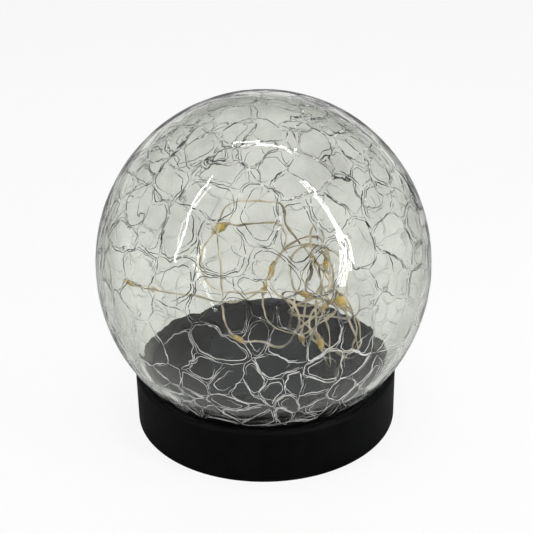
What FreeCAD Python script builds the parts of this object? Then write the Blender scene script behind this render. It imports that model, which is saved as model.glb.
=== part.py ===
import FreeCAD, Part
import Sketcher
import math
import os
import re

# Garden globe light: a crackle glass globe in a twist-off collar, on a round plastic base
# that holds a solar panel, a battery, a small circuit board and a loose light string.
# Millimetres. Origin: centre of the base's underside. +Z up, the front faces -Y.

doc = FreeCAD.newDocument("garden_globe_light")
sheet = doc.addObject("Spreadsheet::Sheet", "sizes")

SIZES = {
    # glass globe: an ellipsoid, a little taller than wide, cut open at the bottom
    "globe_radius": 60, "globe_half_height": 62, "globe_centre": 60.8, "glass_wall": 2.4, "glass_cut": 14,
    # collar glued round the glass edge; three lugs on it climb three ramps in the base, a quarter turn 6 mm
    "glue_gap": 0.4, "glue_outer_top": 17.2, "glue_inner_top": 20.6,
    "collar_radius": 44.65, "collar_bottom": 8, "collar_lip_bottom": 11.4, "collar_lip_radius": 33.6,
    "collar_outer_top": 17.6, "collar_inner_top": 21.2, "collar_wall": 1.4, "upstand_low": 15,
    "skirt_inner_radius": 40.5,
    "thread_lead": 24, "lug_count": 3, "lug_radius": 45.55, "lug_base": 10, "lug_tall": 1.6, "lug_span": 30,
    "rib_radius": 44.95, "rib_tall": 1.4, "rib_span": 45, "rib_gap": 0.2, "root_depth": 0.4,
    "seal_inner_radius": 38.5, "seal_outer_radius": 44, "seal_thick": 1.2,
    # base housing
    "rim_radius": 48.3, "base_height": 20, "housing_bore": 45.85, "floor_low": 5.6, "floor_high": 6.8,
    "tower_radius": 33, "tower_bore": 31.2, "tower_top": 14.6, "rim_round": 1, "rim_round_inner": 0.5,
    "boss_radius": 3.4, "boss_circle": 39, "cover_screw_count": 4, "cover_screw_angle": 45,
    # joining: how deep a joined form sinks into its neighbour, and how far a hole's tool runs past a face
    "merge": 0.2, "past": 1,
    # deck and solar panel
    "deck_thick": 1.8, "panel_pocket": 42.6, "panel_side": 42, "panel_thick": 1, "cell_wide": 9.6,
    "cell_pitch": 10.1, "cell_long": 39, "cell_thick": 0.25, "cell_count": 4, "glaze_side": 41, "glaze_thick": 0.9,
    "glaze_bevel": 0.4, "exit_x": 26, "exit_y": -11, "grommet_neck": 1.8, "grommet_flange": 2.7,
    "grommet_head": 0.8, "grommet_barb": 2.2, "barb_tall": 0.8, "grommet_bore": 0.6, "solar_hole": 2.2,
    "solar_hole_y": 6,
    # bottom cover and battery door
    "cover_radius": 45.5, "cover_low": 1.2, "cover_high": 3.2, "door_axis_x": -26.9, "door_axis_z": 1.9,
    "door_centre_y": -7, "door_end_x": 28.3, "door_wide": 16, "door_low": 1.25, "door_thick": 1.3,
    "door_play": 0.3, "door_seat": 0.05, "ear_x": 30, "ear_radius": 3.9, "trunnion_radius": 0.5,
    "trunnion_long": 1, "trunnion_play": 0.08, "bay_long": 49, "bay_wide": 12, "door_boss_radius": 2.8,
    "door_boss_top": 5.4, "rib_thick": 0.6, "rib_pitch": 14, "rib_end": 1, "door_rib_tall": 0.6,
    "door_rib_count": 3,
    # battery, tray and contacts
    "battery_radius": 5.25, "battery_long": 42.5, "battery_start": -19.6, "battery_z": 8.95,
    "nub_radius": 1.9, "nub_long": 1, "tray_long": 51, "tray_wide": 14.2, "tray_wall": 1.2, "tray_top": 12.6,
    "contact_thick": 0.4, "contact_wide": 8, "contact_low": 4.5, "contact_high": 12.7,
    "spring_wire": 0.3, "spring_radius": 3.4, "spring_pitch": 1.1,
    # circuit board and its parts
    "board_long": 34, "board_wide": 18, "board_y": 13, "board_low": 6.4, "board_thick": 1,
    "post_x": 14, "post_y": 19, "post_radius": 2.4,
    "switch_long": 8.6, "switch_wide": 4.4, "switch_tall": 3.2, "switch_wall": 0.8, "switch_slot": 4.4,
    "lever_long": 1.8, "lever_wide": 1.3, "lever_tip": 0.7, "lever_rest": -1, "lever_play": 0.25,
    "carriage_long": 3.4, "carriage_wide": 2.4, "carriage_low": 4.2, "carriage_tall": 1, "window_long": 5.2,
    "window_wide": 2.3, "chip_long": 5, "chip_wide": 4, "chip_tall": 1.5, "chip_x": -8, "chip_y": 11,
    "chip_lift": 0.2, "leg_wide": 0.5, "leg_reach": 1, "leg_pitch": 1.27, "legs_a_side": 4,
    "coil_x": 9, "coil_y": 17, "coil_radius": 3, "coil_core": 1.8, "coil_tall": 4.8, "coil_flange": 0.8,
    "capacitor_x": 12, "capacitor_y": 9, "capacitor_radius": 2, "capacitor_tall": 5, "capacitor_round": 0.4,
    # screws
    "cover_head": 2.6, "cover_shank": 1.3, "cover_screw_top": 6, "door_head": 2.2, "door_shank": 1,
    "door_screw_top": 5, "board_head": 1.9, "board_shank": 0.95, "board_screw_low": 3.5,
    "head_tall": 0.9, "head_sunk": 0.1, "shank_play": 0.05, "hole_play": 0.2, "recess_wide": 0.6,
    "recess_deep": 0.5, "recess_share": 1.3,
    # light string and inner leads
    "string_wire": 0.9, "bead_pitch": 102, "bead_long": 7, "bead_radius": 1.5,
    "chip_led_long": 1.6, "chip_led_wide": 1.0, "chip_led_tall": 0.7, "lead_radius": 0.5,
    # the leads' slanted ends stop this far above what they are soldered to
    "solder_gap": 0.25,
}
for row, (alias, value) in enumerate(SIZES.items(), start=1):
    sheet.set("A%d" % row, alias)
    sheet.set("B%d" % row, str(value))
    sheet.setAlias("B%d" % row, alias)
doc.recompute()

UP = FreeCAD.Vector(0, 0, 1)
ORIGIN = FreeCAD.Vector(0, 0, 0)
AXES = ("x", "y", "z")


def size(alias):
    return float(sheet.get(alias))


def bound(text):
    """The expression with each alias in it turned into a reference to the sheet."""
    return re.sub(r"[a-z][a-z_]+[a-z]",
                  lambda found: "sizes." + found.group(0) if found.group(0) in SIZES else found.group(0), text)


def place(item, centre):
    for axis, text in zip(AXES, centre):
        item.setExpression(".Placement.Base." + axis, bound(text))
    return item


def bind(item, sizes):
    for name, text in sizes.items():
        item.setExpression(name, bound(text))
    return item


def box(name, lengths, middle, low):
    """A block centred at middle = (x, y) that starts at height low."""
    item = bind(doc.addObject("Part::Box", name), dict(zip(("Length", "Width", "Height"), lengths)))
    corner = ["(%s) - (%s) / 2" % (middle[i], lengths[i]) for i in (0, 1)]
    return place(item, corner + [low])


def cylinder(name, radius, tall, centre):
    item = bind(doc.addObject("Part::Cylinder", name), {"Radius": radius, "Height": tall})
    return place(item, centre)


def lying_cylinder(name, radius, long, start, axis):
    """A cylinder along +X or +Y that starts at the point start."""
    item = cylinder(name, radius, long, start)
    turn = {"x": (FreeCAD.Vector(0, 1, 0), 90), "y": (FreeCAD.Vector(1, 0, 0), -90)}[axis]
    item.Placement.Rotation = FreeCAD.Rotation(*turn)
    return place(item, start)


def union(name, items):
    item = doc.addObject("Part::MultiFuse", name)
    item.Shapes = items
    return item


def cut(name, base, tools):
    item = doc.addObject("Part::Cut", name)
    item.Base = base
    item.Tool = tools[0] if len(tools) == 1 else union(name + "_tools", tools)
    return item


def group(name, items):
    item = doc.addObject("Part::Compound", name)
    item.Links = items
    return item


def feature(name, shape):
    item = doc.addObject("Part::Feature", name)
    item.Shape = shape
    return item


# ---- sketched bodies ----------------------------------------------------------------------

def new_body(name):
    return doc.addObject("PartDesign::Body", name)


def new_sketch(body, name, plane, centre=("0", "0", "0")):
    """A sketch on one of the body's own planes, with its origin moved to centre."""
    sketch = body.newObject("Sketcher::SketchObject", name)
    support = [item for item in body.Origin.OriginFeatures if item.Role == plane][0]
    sketch.AttachmentSupport = [(support, "")]
    sketch.MapMode = "FlatFace"
    for axis, text in zip(AXES, centre):
        if text != "0":
            sketch.setExpression(".AttachmentOffset.Base." + axis, bound(text))
    return sketch


def fix(sketch, constraint, text):
    number = sketch.addConstraint(constraint)
    sketch.setExpression("Constraints[%d]" % number, bound(text))


def draw_circle(sketch, radius):
    ring = sketch.addGeometry(Part.Circle(ORIGIN, UP, 1), False)
    sketch.addConstraint(Sketcher.Constraint("Coincident", ring, 3, -1, 1))
    fix(sketch, Sketcher.Constraint("Radius", ring, 1), radius)


def draw_rectangle(sketch, long, wide):
    corners = [FreeCAD.Vector(x, y, 0) for x, y in ((-1, -1), (1, -1), (1, 1), (-1, 1))]
    sides = [sketch.addGeometry(Part.LineSegment(corners[i], corners[(i + 1) % 4]), False) for i in range(4)]
    for i in range(4):
        sketch.addConstraint(Sketcher.Constraint("Coincident", sides[i], 2, sides[(i + 1) % 4], 1))
        sketch.addConstraint(Sketcher.Constraint("Horizontal" if i % 2 == 0 else "Vertical", sides[i]))
    sketch.addConstraint(Sketcher.Constraint("Symmetric", sides[0], 1, sides[1], 2, -1, 1))
    fix(sketch, Sketcher.Constraint("DistanceX", sides[0], 1, sides[0], 2, 2), long)
    fix(sketch, Sketcher.Constraint("DistanceY", sides[1], 1, sides[1], 2, 2), wide)


def draw_outline(sketch, corners):
    """A closed outline whose corners are (radius, height) texts, all at radius above zero."""
    count = len(corners)
    rough = [FreeCAD.Vector(10 + 5 * math.cos(2 * math.pi * i / count),
                            10 + 5 * math.sin(2 * math.pi * i / count), 0) for i in range(count)]
    for i in range(count):
        sketch.addGeometry(Part.LineSegment(rough[i], rough[(i + 1) % count]), False)
    for i in range(count):
        sketch.addConstraint(Sketcher.Constraint("Coincident", i, 2, (i + 1) % count, 1))
    for i, (radius, height) in enumerate(corners):
        fix(sketch, Sketcher.Constraint("DistanceX", -1, 1, i, 1, 10), radius)
        if height == "0":
            sketch.addConstraint(Sketcher.Constraint("PointOnObject", i, 1, -1))
        else:
            fix(sketch, Sketcher.Constraint("DistanceY", -1, 1, i, 1, 10), height)


def pad(body, sketch, tall):
    item = body.newObject("PartDesign::Pad", sketch.Name + "_pad")
    item.Profile = sketch
    return bind(item, {"Length": tall})


def pocket(body, sketch, deep, upward):
    item = body.newObject("PartDesign::Pocket", sketch.Name + "_pocket")
    item.Profile = sketch
    item.Reversed = upward
    return bind(item, {"Length": deep})


def repeat_round(body, item, count):
    """The feature repeated round the body's Z axis."""
    pattern = body.newObject("PartDesign::PolarPattern", item.Name + "_pattern")
    pattern.Originals = [item]
    axis = [part for part in body.Origin.OriginFeatures if part.Role == "Z_Axis"][0]
    pattern.Axis = (axis, [""])
    pattern.Angle = 360
    bind(pattern, {"Occurrences": count})
    body.Tip = pattern
    return pattern


# ---- revolved glass, glue and collar ------------------------------------------------------

def glass_radius(height, offset):
    """Radius of the glass's outer surface, moved outward by offset, at a height."""
    rise = (height - size("globe_centre")) / (size("globe_half_height") + offset)
    return (size("globe_radius") + offset) * math.sqrt(1 - rise * rise)


def glass_curve(offset, low, high):
    """The globe's outline between two heights, moved outward by offset."""
    tall = size("globe_half_height") + offset
    middle = FreeCAD.Vector(0, 0, size("globe_centre"))
    oval = Part.Ellipse(middle + FreeCAD.Vector(0, 0, tall),
                        middle + FreeCAD.Vector(size("globe_radius") + offset, 0, 0), middle)
    angles = [math.acos(round((z - size("globe_centre")) / tall, 9)) for z in (high, low)]
    return Part.ArcOfEllipse(oval, angles[0], angles[1]).toShape()


def line(start, end):
    return Part.LineSegment(FreeCAD.Vector(start[0], 0, start[1]), FreeCAD.Vector(end[0], 0, end[1])).toShape()


def spin(edges):
    wire = Part.Wire(Part.sortEdges(edges)[0])
    return Part.Face(wire).revolve(ORIGIN, UP, 360)


def chain(corners):
    return [line(corners[i], corners[i + 1]) for i in range(len(corners) - 1)]


# ---- tubes --------------------------------------------------------------------------------

def vector(point):
    return FreeCAD.Vector(*point)


def arc_points(before, corner, after, radius):
    """Start, middle and end of the arc that rounds a corner of a route."""
    inward = (before - corner).normalize()
    outward = (after - corner).normalize()
    half = (math.pi - inward.getAngle(outward)) / 2
    reach = radius * math.tan(half)
    start = corner + inward * reach
    end = corner + outward * reach
    aim = (inward + outward).normalize()
    middle = corner + aim * (radius / math.cos(half) - radius)
    return start, middle, end


def route_edges(points):
    """Straight runs joined by tangent arcs, each as large as its two runs allow."""
    points = [vector(point) for point in points]
    edges = []
    radii = []
    at = points[0]
    for i in range(1, len(points) - 1):
        before, corner, after = points[i - 1:i + 2]
        shorter = min((corner - before).Length, (after - corner).Length)
        half = (corner - before).getAngle(after - corner) / 2
        radius = 0.45 * shorter / math.tan(half)
        radii.append(radius)
        start, middle, end = arc_points(before, corner, after, radius)
        edges.append(Part.LineSegment(at, start).toShape())
        edges.append(Part.Arc(start, middle, end).toShape())
        at = end
    edges.append(Part.LineSegment(at, points[-1]).toShape())
    return edges, radii


def tube(edges, radius):
    """A round tube along joined edges."""
    path = Part.Wire(edges)
    start = edges[0].valueAt(edges[0].FirstParameter)
    along = edges[0].tangentAt(edges[0].FirstParameter)
    ring = Part.Wire(Part.Circle(start, along, radius).toShape())
    solid = path.makePipeShell([ring], True, False)
    expected = math.pi * radius ** 2 * path.Length
    return solid, path.Length, solid.Volume / expected


def lead(name, points, radius):
    solid, length, share = tube(route_edges(points)[0], radius)
    print("%s: %.0f mm, volume %.3f of section times length" % (name, length, share))
    return solid


# ---- base housing -------------------------------------------------------------------------

def helical_block(inner, outer, low, tall, angle, span):
    """A block that climbs with the thread's lead from angle over span degrees."""
    rise = size("thread_lead") * span / 360
    middle = (inner + outer) / 2
    helix = Part.makeHelix(size("thread_lead"), rise, middle)
    corners = [(inner, 0), (outer, 0), (outer, tall), (inner, tall), (inner, 0)]
    section = Part.makePolygon([FreeCAD.Vector(r, 0, z) for r, z in corners])
    block = Part.Wire(helix.Edges).makePipeShell([section], True, True)
    block.translate(FreeCAD.Vector(0, 0, low))
    block.rotate(ORIGIN, UP, angle)
    return block


def screw_blocks(name, inner, outer, low, tall, span):
    count = int(size("lug_count"))
    return [feature("%s_%d" % (name, i + 1), helical_block(inner, outer, low, tall, 360 * i / count, span))
            for i in range(count)]


def make_base_housing():
    body = new_body("housing_shell")
    sketch = new_sketch(body, "housing_outline", "XZ_Plane")
    draw_outline(sketch, [
        ("housing_bore", "0"), ("rim_radius", "0"), ("rim_radius", "base_height"),
        ("housing_bore", "base_height"), ("housing_bore", "floor_high"), ("tower_radius", "floor_high"),
        ("tower_radius", "tower_top"), ("tower_bore", "tower_top"), ("tower_bore", "floor_low"),
        ("housing_bore", "floor_low")])
    spun = body.newObject("PartDesign::Revolution", "housing_spin")
    spun.Profile = sketch
    spun.ReferenceAxis = (sketch, ["V_Axis"])
    spun.Angle = 360
    doc.recompute()
    for label, radius, rounding in (("outer_round", "rim_radius", "rim_round"),
                                    ("inner_round", "housing_bore", "rim_round_inner")):
        base = body.Tip
        edges = ["Edge%d" % (i + 1) for i, edge in enumerate(base.Shape.Edges)
                 if isinstance(edge.Curve, Part.Circle) and abs(edge.Curve.Radius - size(radius)) < 0.01
                 and abs(edge.Curve.Center.z - size("base_height")) < 0.01]
        fillet = body.newObject("PartDesign::Fillet", label)
        fillet.Base = (base, edges)
        bind(fillet, {"Radius": rounding})
        doc.recompute()
    ribs = screw_blocks("thread_rib", size("rib_radius"), size("housing_bore") + size("root_depth"),
                        size("lug_base") + size("lug_tall") + size("rib_gap"), size("rib_tall"), size("rib_span"))
    bosses = []
    holes = []
    for i in range(int(size("cover_screw_count"))):
        centre = cover_screw_spot(i)
        bosses.append(cylinder("cover_boss_%d" % (i + 1), "boss_radius", "floor_low + merge - cover_high",
                               centre + ("cover_high",)))
        holes.append(cylinder("cover_hole_%d" % (i + 1), "cover_shank + shank_play",
                              "cover_screw_top + hole_play - cover_high", centre + ("cover_high",)))
    whole = union("housing_with_bosses", [body] + ribs + bosses)
    return cut("base_housing", whole, holes)


def cover_screw_spot(i):
    angle = "(cover_screw_angle + 360 / cover_screw_count * %d)" % i
    return ("boss_circle * cos(%s * 1 deg)" % angle, "boss_circle * sin(%s * 1 deg)" % angle)


# ---- screws -------------------------------------------------------------------------------

def pan_screw(name, spot, head, shank, head_low, top):
    """A screw pushed up from below: its head at head_low, its tip at top."""
    body = union(name + "_blank", [
        cylinder(name + "_head", head, "head_tall", spot + (head_low,)),
        cylinder(name + "_shank", shank, "(%s) - (%s)" % (top, head_low), spot + (head_low,))])
    arm = head + " * recess_share"
    slots = [box(name + "_slot_a", (arm, "recess_wide", "recess_deep"), spot, head_low),
             box(name + "_slot_b", ("recess_wide", arm, "recess_deep"), spot, head_low)]
    return cut(name, body, slots)


# ---- light string -------------------------------------------------------------------------

# The loose loops: how their size, plane and centre drift while the wire goes round.
LOOPS = {
    "turns": 10, "size": 14.97, "size_swing": 5.25, "size_rate": 0.253, "size_phase": 4.17,
    "heading": 0.92, "heading_rate": 47.37, "lean": 65.84, "lean_swing": 23.19, "lean_rate": 0.287,
    "lean_phase": 4.27, "narrow": 0.98, "centre_x": 19.85, "centre_y": 0.85, "centre_z": 46,
    "drift_x": 5.45, "drift_y": 3.84, "drift_z": 0.4, "drift_rate": 0.08, "drift_phase": 1.4, "rise": 27.07,
}
QUARTERS = 4
# Straight wire at each end of the loops, and the straight way to and from them.
STUB = 1.0
LEAD_IN_APPROACH = 6.5
RUN_APPROACH = 6.5
# The least gap leaves out wire nearer than this many millimetres along the string.
SAME_BEND = 12

# The free stretches' own corners: from the grommet's mouth, and from the loops to the string's end.
LEAD_IN_POINTS = [(26, -11, 17.2), (26, -11, 21.6), (29, -10, 27.4)]
RUN_POINTS = [
    (8.5, 18, 76), (2, 15, 78), (-5.5, 12, 80), (-12, 9, 80.5), (-15.5, 7, 76.5), (-16.5, 4, 66), (-15, 1, 55.5),
    (-15.5, -2, 45.5), (-14, -5, 37.5), (-9.5, -8, 33), (-2, -11, 35), (4, -14, 33), (9, -19, 38.5),
    (12.5, -22, 47), (11, -23, 55.5), (5, -21, 59), (-3, -18, 58.5), (-11, -14, 56), (-18.5, -10, 56),
    (-22.5, -4, 60), (-21.5, 3, 66), (-17, 11, 69), (-10, 13, 70), (-2.5, 12, 71), (4.5, 10, 72.5), (9, 5, 70.5),
    (8, 0, 66.5), (3, -3, 60), (-0.5, -7, 53.5), (-8.5, -10, 50), (-16.5, -9, 50), (-25, -6, 51),
    (-34, -3, 50.5), (-42.5, 0, 51), (-49.5, 3, 52)]


def loop_point(turn):
    angle = 2 * math.pi * turn
    radius = LOOPS["size"] + LOOPS["size_swing"] * math.sin(LOOPS["size_rate"] * angle + LOOPS["size_phase"])
    heading = math.radians(LOOPS["heading"] + LOOPS["heading_rate"] * turn)
    lean = math.radians(
        LOOPS["lean"] + LOOPS["lean_swing"] * math.sin(LOOPS["lean_rate"] * angle + LOOPS["lean_phase"]))
    across = radius * LOOPS["narrow"] * math.cos(angle)
    along = radius * math.sin(angle)
    sideways = along * math.cos(lean)
    drift = LOOPS["drift_rate"] * angle + LOOPS["drift_phase"]
    lift = LOOPS["rise"] * (turn / LOOPS["turns"] - 0.5)
    lift += LOOPS["drift_z"] * math.sin(1.7 * LOOPS["drift_rate"] * angle)
    return FreeCAD.Vector(
        LOOPS["centre_x"] + LOOPS["drift_x"] * math.sin(drift)
        + across * math.cos(heading) - sideways * math.sin(heading),
        LOOPS["centre_y"] + LOOPS["drift_y"] * math.cos(drift)
        + across * math.sin(heading) + sideways * math.cos(heading),
        LOOPS["centre_z"] + lift + along * math.sin(lean))


def loop_heading(turn):
    step = 0.001
    return (loop_point(turn + step) - loop_point(turn - step)).normalize()


def arc_between(start, heading, end):
    """The arc from start, leaving along heading, to end."""
    chord = end - start
    outward = chord.cross(heading.cross(chord)).normalize()
    bulge = chord.Length / 2 * math.tan(heading.getAngle(chord) / 2)
    return Part.Arc(start, (start + end) / 2 + outward * bulge, end).toShape()


def biarc(start, leaving, end, arriving):
    """Two arcs that join start to end and meet each other along one direction."""
    chord = end - start
    both = leaving + arriving
    spare = 2 * (1 - leaving.dot(arriving))
    along = chord.dot(both)
    reach = (math.sqrt(along * along + spare * chord.dot(chord)) - along) / spare
    joint = (start + leaving * reach + end - arriving * reach) / 2
    first = arc_between(start, leaving, joint)
    back = arc_between(end, arriving * -1, joint)
    return [first, Part.Arc(joint, back.valueAt(middle_of(back)), end).toShape()]


def middle_of(edge):
    return (edge.FirstParameter + edge.LastParameter) / 2


def loop_edges():
    turns = LOOPS["turns"]
    first = loop_point(0)
    last = loop_point(turns)
    edges = [Part.LineSegment(first - loop_heading(0) * STUB, first).toShape()]
    for step in range(turns * QUARTERS):
        low = step / QUARTERS
        high = (step + 1) / QUARTERS
        edges += biarc(loop_point(low), loop_heading(low), loop_point(high), loop_heading(high))
    edges.append(Part.LineSegment(last, last + loop_heading(turns) * STUB).toShape())
    return edges


def sample(edges, step):
    """Points about a step apart along joined edges, with the direction at each."""
    found = []
    for edge in edges:
        count = max(1, int(round(edge.Length / step)))
        for i in range(count):
            at = edge.getParameterByLength(edge.Length * (i + 0.5) / count)
            found.append((edge.valueAt(at), edge.tangentAt(at)))
    return found


def least_gap(edges, wire):
    """The least distance between the surfaces of two stretches of the wire."""
    points = [point for point, along in sample(edges, 1)]
    least = min(points[i].distanceToPoint(points[j])
                for i in range(len(points)) for j in range(i + SAME_BEND, len(points)))
    return least - wire


def make_light_string():
    wire = size("string_wire")
    start = loop_point(0) - loop_heading(0) * STUB
    end = loop_point(LOOPS["turns"]) + loop_heading(LOOPS["turns"]) * STUB
    lead_in = [vector(point) for point in LEAD_IN_POINTS] + [start - loop_heading(0) * LEAD_IN_APPROACH, start]
    run = [end, end + loop_heading(LOOPS["turns"]) * RUN_APPROACH] + [vector(point) for point in RUN_POINTS]
    edges = {}
    edges["light_string_lead_in"], radii_in = route_edges(lead_in)
    edges["light_string_loops"] = loop_edges()
    edges["light_string_run"], radii_out = route_edges(run)
    print("radii of the free stretches:", " ".join("%.1f" % radius for radius in radii_in + radii_out))
    items = []
    total = 0
    for name, path in edges.items():
        solid, length, share = tube(path, wire / 2)
        total += length
        print("%s: %.0f mm, volume %.3f of section times length" % (name, length, share))
        items.append(feature(name, solid))
    print("least gap of the loops to themselves: %.2f mm" % least_gap(edges["light_string_loops"], wire))
    whole = edges["light_string_lead_in"] + edges["light_string_loops"] + edges["light_string_run"]
    print("light string: %.0f mm, least gap %.2f mm" % (total, least_gap(whole, wire)))
    return items + make_beads(whole)


def make_beads(path):
    """Resin beads with a light chip in each, at equal distances back from the string's end."""
    long = size("bead_long")
    spots = sample(path, 1)[::-int(size("bead_pitch"))]
    print("beads: %d" % len(spots))
    drop = Part.Ellipse(FreeCAD.Vector(long / 2, 0, 0), FreeCAD.Vector(0, size("bead_radius"), 0), ORIGIN)
    profile = [Part.ArcOfEllipse(drop, 0, math.pi).toShape(),
               Part.LineSegment(FreeCAD.Vector(long / 2, 0, 0), FreeCAD.Vector(-long / 2, 0, 0)).toShape()]
    bead = Part.Face(Part.Wire(profile)).revolve(ORIGIN, FreeCAD.Vector(1, 0, 0), 360)
    sides = [size("chip_led_long"), size("chip_led_wide"), size("chip_led_tall")]
    chip = Part.makeBox(*sides, FreeCAD.Vector(*[-side / 2 for side in sides]))
    beads = []
    chips = []
    for point, along in spots:
        turn = FreeCAD.Rotation(FreeCAD.Vector(1, 0, 0), along)
        spot = FreeCAD.Placement(point, turn)
        beads.append(bead.transformed(spot.toMatrix()))
        chips.append(chip.transformed(spot.toMatrix()))
    return [feature("led_beads", Part.makeCompound(beads)), feature("led_chips", Part.makeCompound(chips))]


# ---- base housing and what it carries -----------------------------------------------------

def make_top_deck():
    body = new_body("top_deck")
    pad(body, circle_sketch(body, "deck_disc", "tower_radius", ("0", "0", "tower_top")), "deck_thick")
    bed = new_sketch(body, "deck_bed", "XY_Plane", ("0", "0", "tower_top + deck_thick"))
    draw_rectangle(bed, "panel_pocket", "panel_pocket")
    pocket(body, bed, "panel_thick", False)
    exit_hole = circle_sketch(body, "deck_exit", "grommet_neck + shank_play",
                              ("exit_x", "exit_y", "tower_top + deck_thick"))
    pocket(body, exit_hole, "deck_thick", False)
    wire_hole = circle_sketch(body, "deck_wires", "solar_hole",
                              ("0", "solar_hole_y", "tower_top + deck_thick"))
    pocket(body, wire_hole, "deck_thick", False)
    return body


def circle_sketch(body, name, radius, centre):
    sketch = new_sketch(body, name, "XY_Plane", centre)
    draw_circle(sketch, radius)
    return sketch


def make_solar_panel():
    deck_top = "tower_top + deck_thick"
    substrate = box("solar_substrate", ("panel_side", "panel_side", "panel_thick"), ("0", "0"),
                    "%s - panel_thick" % deck_top)
    count = int(size("cell_count"))
    cells = [box("solar_cell_%d" % (i + 1), ("cell_wide", "cell_long", "cell_thick"),
                 ("cell_pitch * %.1f" % (i - (count - 1) / 2), "0"), deck_top) for i in range(count)]
    glaze = box("solar_cover_blank", ("glaze_side", "glaze_side", "glaze_thick"), ("0", "0"),
                "%s + cell_thick" % deck_top)
    cover = doc.addObject("Part::Chamfer", "solar_cover")
    cover.Base = glaze
    doc.recompute()
    top = size("tower_top") + size("deck_thick") + size("cell_thick") + size("glaze_thick")
    cover.Edges = [(i + 1, size("glaze_bevel"), size("glaze_bevel")) for i, edge in enumerate(glaze.Shape.Edges)
                   if min(vertex.Z for vertex in edge.Vertexes) > top - 0.01]
    return [substrate, group("solar_cells", cells), cover]


def make_grommet():
    spot = ("exit_x", "exit_y")
    deck_top = "tower_top + deck_thick"
    blank = union("grommet_blank", [
        cylinder("grommet_flange_disc", "grommet_flange", "grommet_head", spot + (deck_top,)),
        cylinder("grommet_neck_post", "grommet_neck", "deck_thick + barb_tall + merge",
                 spot + ("tower_top - barb_tall - merge",)),
        cylinder("grommet_barb_disc", "grommet_barb", "barb_tall", spot + ("tower_top - barb_tall",))])
    bore = cylinder("grommet_bore_tool", "grommet_bore", "deck_thick + barb_tall + grommet_head + 2 * past",
                    spot + ("tower_top - barb_tall - past",))
    return cut("wire_grommet", blank, [bore])


def make_circuit_board():
    body = new_body("circuit_board")
    outline = new_sketch(body, "board_outline", "XY_Plane", ("0", "board_y", "board_low"))
    draw_rectangle(outline, "board_long", "board_wide")
    pad(body, outline, "board_thick")
    for side, name in ((1, "board_hole_right"), (-1, "board_hole_left")):
        hole = circle_sketch(body, name, "board_shank + hole_play",
                             ("%d * post_x" % side, "post_y", "board_low + board_thick"))
        pocket(body, hole, "board_thick", False)
    return body


def make_board_parts():
    top = "board_low + board_thick"
    chip = [box("chip_case", ("chip_long", "chip_wide", "chip_tall"), ("chip_x", "chip_y"), top + " + chip_lift")]
    legs = int(size("legs_a_side"))
    for i in range(legs):
        for side, name in ((-1, "front"), (1, "rear")):
            middle = ("chip_x + leg_pitch * %.1f" % (i - (legs - 1) / 2),
                      "chip_y + %d * (chip_wide / 2 + leg_reach / 2 - merge / 2)" % side)
            chip.append(box("chip_leg_%d_%s" % (i + 1, name), ("leg_wide", "leg_reach", "leg_wide"), middle, top))
    coil_spot = ("coil_x", "coil_y")
    drum = [cylinder("drum_foot", "coil_radius", "coil_flange", coil_spot + (top,)),
            cylinder("drum_winding", "coil_core", "coil_tall", coil_spot + (top,)),
            cylinder("drum_cap", "coil_radius", "coil_flange", coil_spot + (top + " + coil_tall - coil_flange",))]
    can = cylinder("capacitor_can", "capacitor_radius", "capacitor_tall", ("capacitor_x", "capacitor_y", top))
    capacitor = doc.addObject("Part::Fillet", "capacitor")
    capacitor.Base = can
    doc.recompute()
    rounding = size("capacitor_round")
    capacitor.Edges = [(i + 1, rounding, rounding) for i, edge in enumerate(can.Shape.Edges)
                       if isinstance(edge.Curve, Part.Circle)]
    screws = []
    for i, side in enumerate((-1, 1)):
        spot = ("%d * post_x" % side, "post_y")
        head = "board_low + board_thick"
        blank = union("board_screw_blank_%d" % (i + 1), [
            cylinder("board_screw_head_%d" % (i + 1), "board_head", "head_tall", spot + (head,)),
            cylinder("board_screw_shank_%d" % (i + 1), "board_shank", head + " - board_screw_low",
                     spot + ("board_screw_low",))])
        slot = box("board_screw_slot_%d" % (i + 1), ("board_head * recess_share", "recess_wide", "recess_deep"),
                   spot, head + " + head_tall - recess_deep")
        screws.append(cut("board_screw_%d" % (i + 1), blank, [slot]))
    return [union("controller_chip", chip), union("inductor", drum), capacitor, group("board_screws", screws)]


def make_switch():
    """The slide switch under the board: a case with a slot, and its lever."""
    inner = ["switch_%s - 2 * switch_wall" % side for side in ("long", "wide")]
    case = box("switch_case", ("switch_long", "switch_wide", "switch_tall"), ("0", "board_y"), "cover_high")
    room = box("switch_room", (inner[0], inner[1], "switch_tall - 2 * switch_wall"), ("0", "board_y"),
               "cover_high + switch_wall")
    slot = box("switch_slot_tool", ("switch_slot", "lever_wide + 2 * lever_play", "switch_wall * 2"),
               ("0", "board_y"), "cover_high - switch_wall / 2")
    carriage = box("lever_carriage", ("carriage_long", "carriage_wide", "carriage_tall"),
                   ("lever_rest", "board_y"), "carriage_low")
    stem = box("lever_stem", ("lever_long", "lever_wide", "carriage_low + merge - lever_tip"),
               ("lever_rest", "board_y"), "lever_tip")
    return [cut("switch_body", case, [room, slot]), union("switch_lever", [carriage, stem])]


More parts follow.
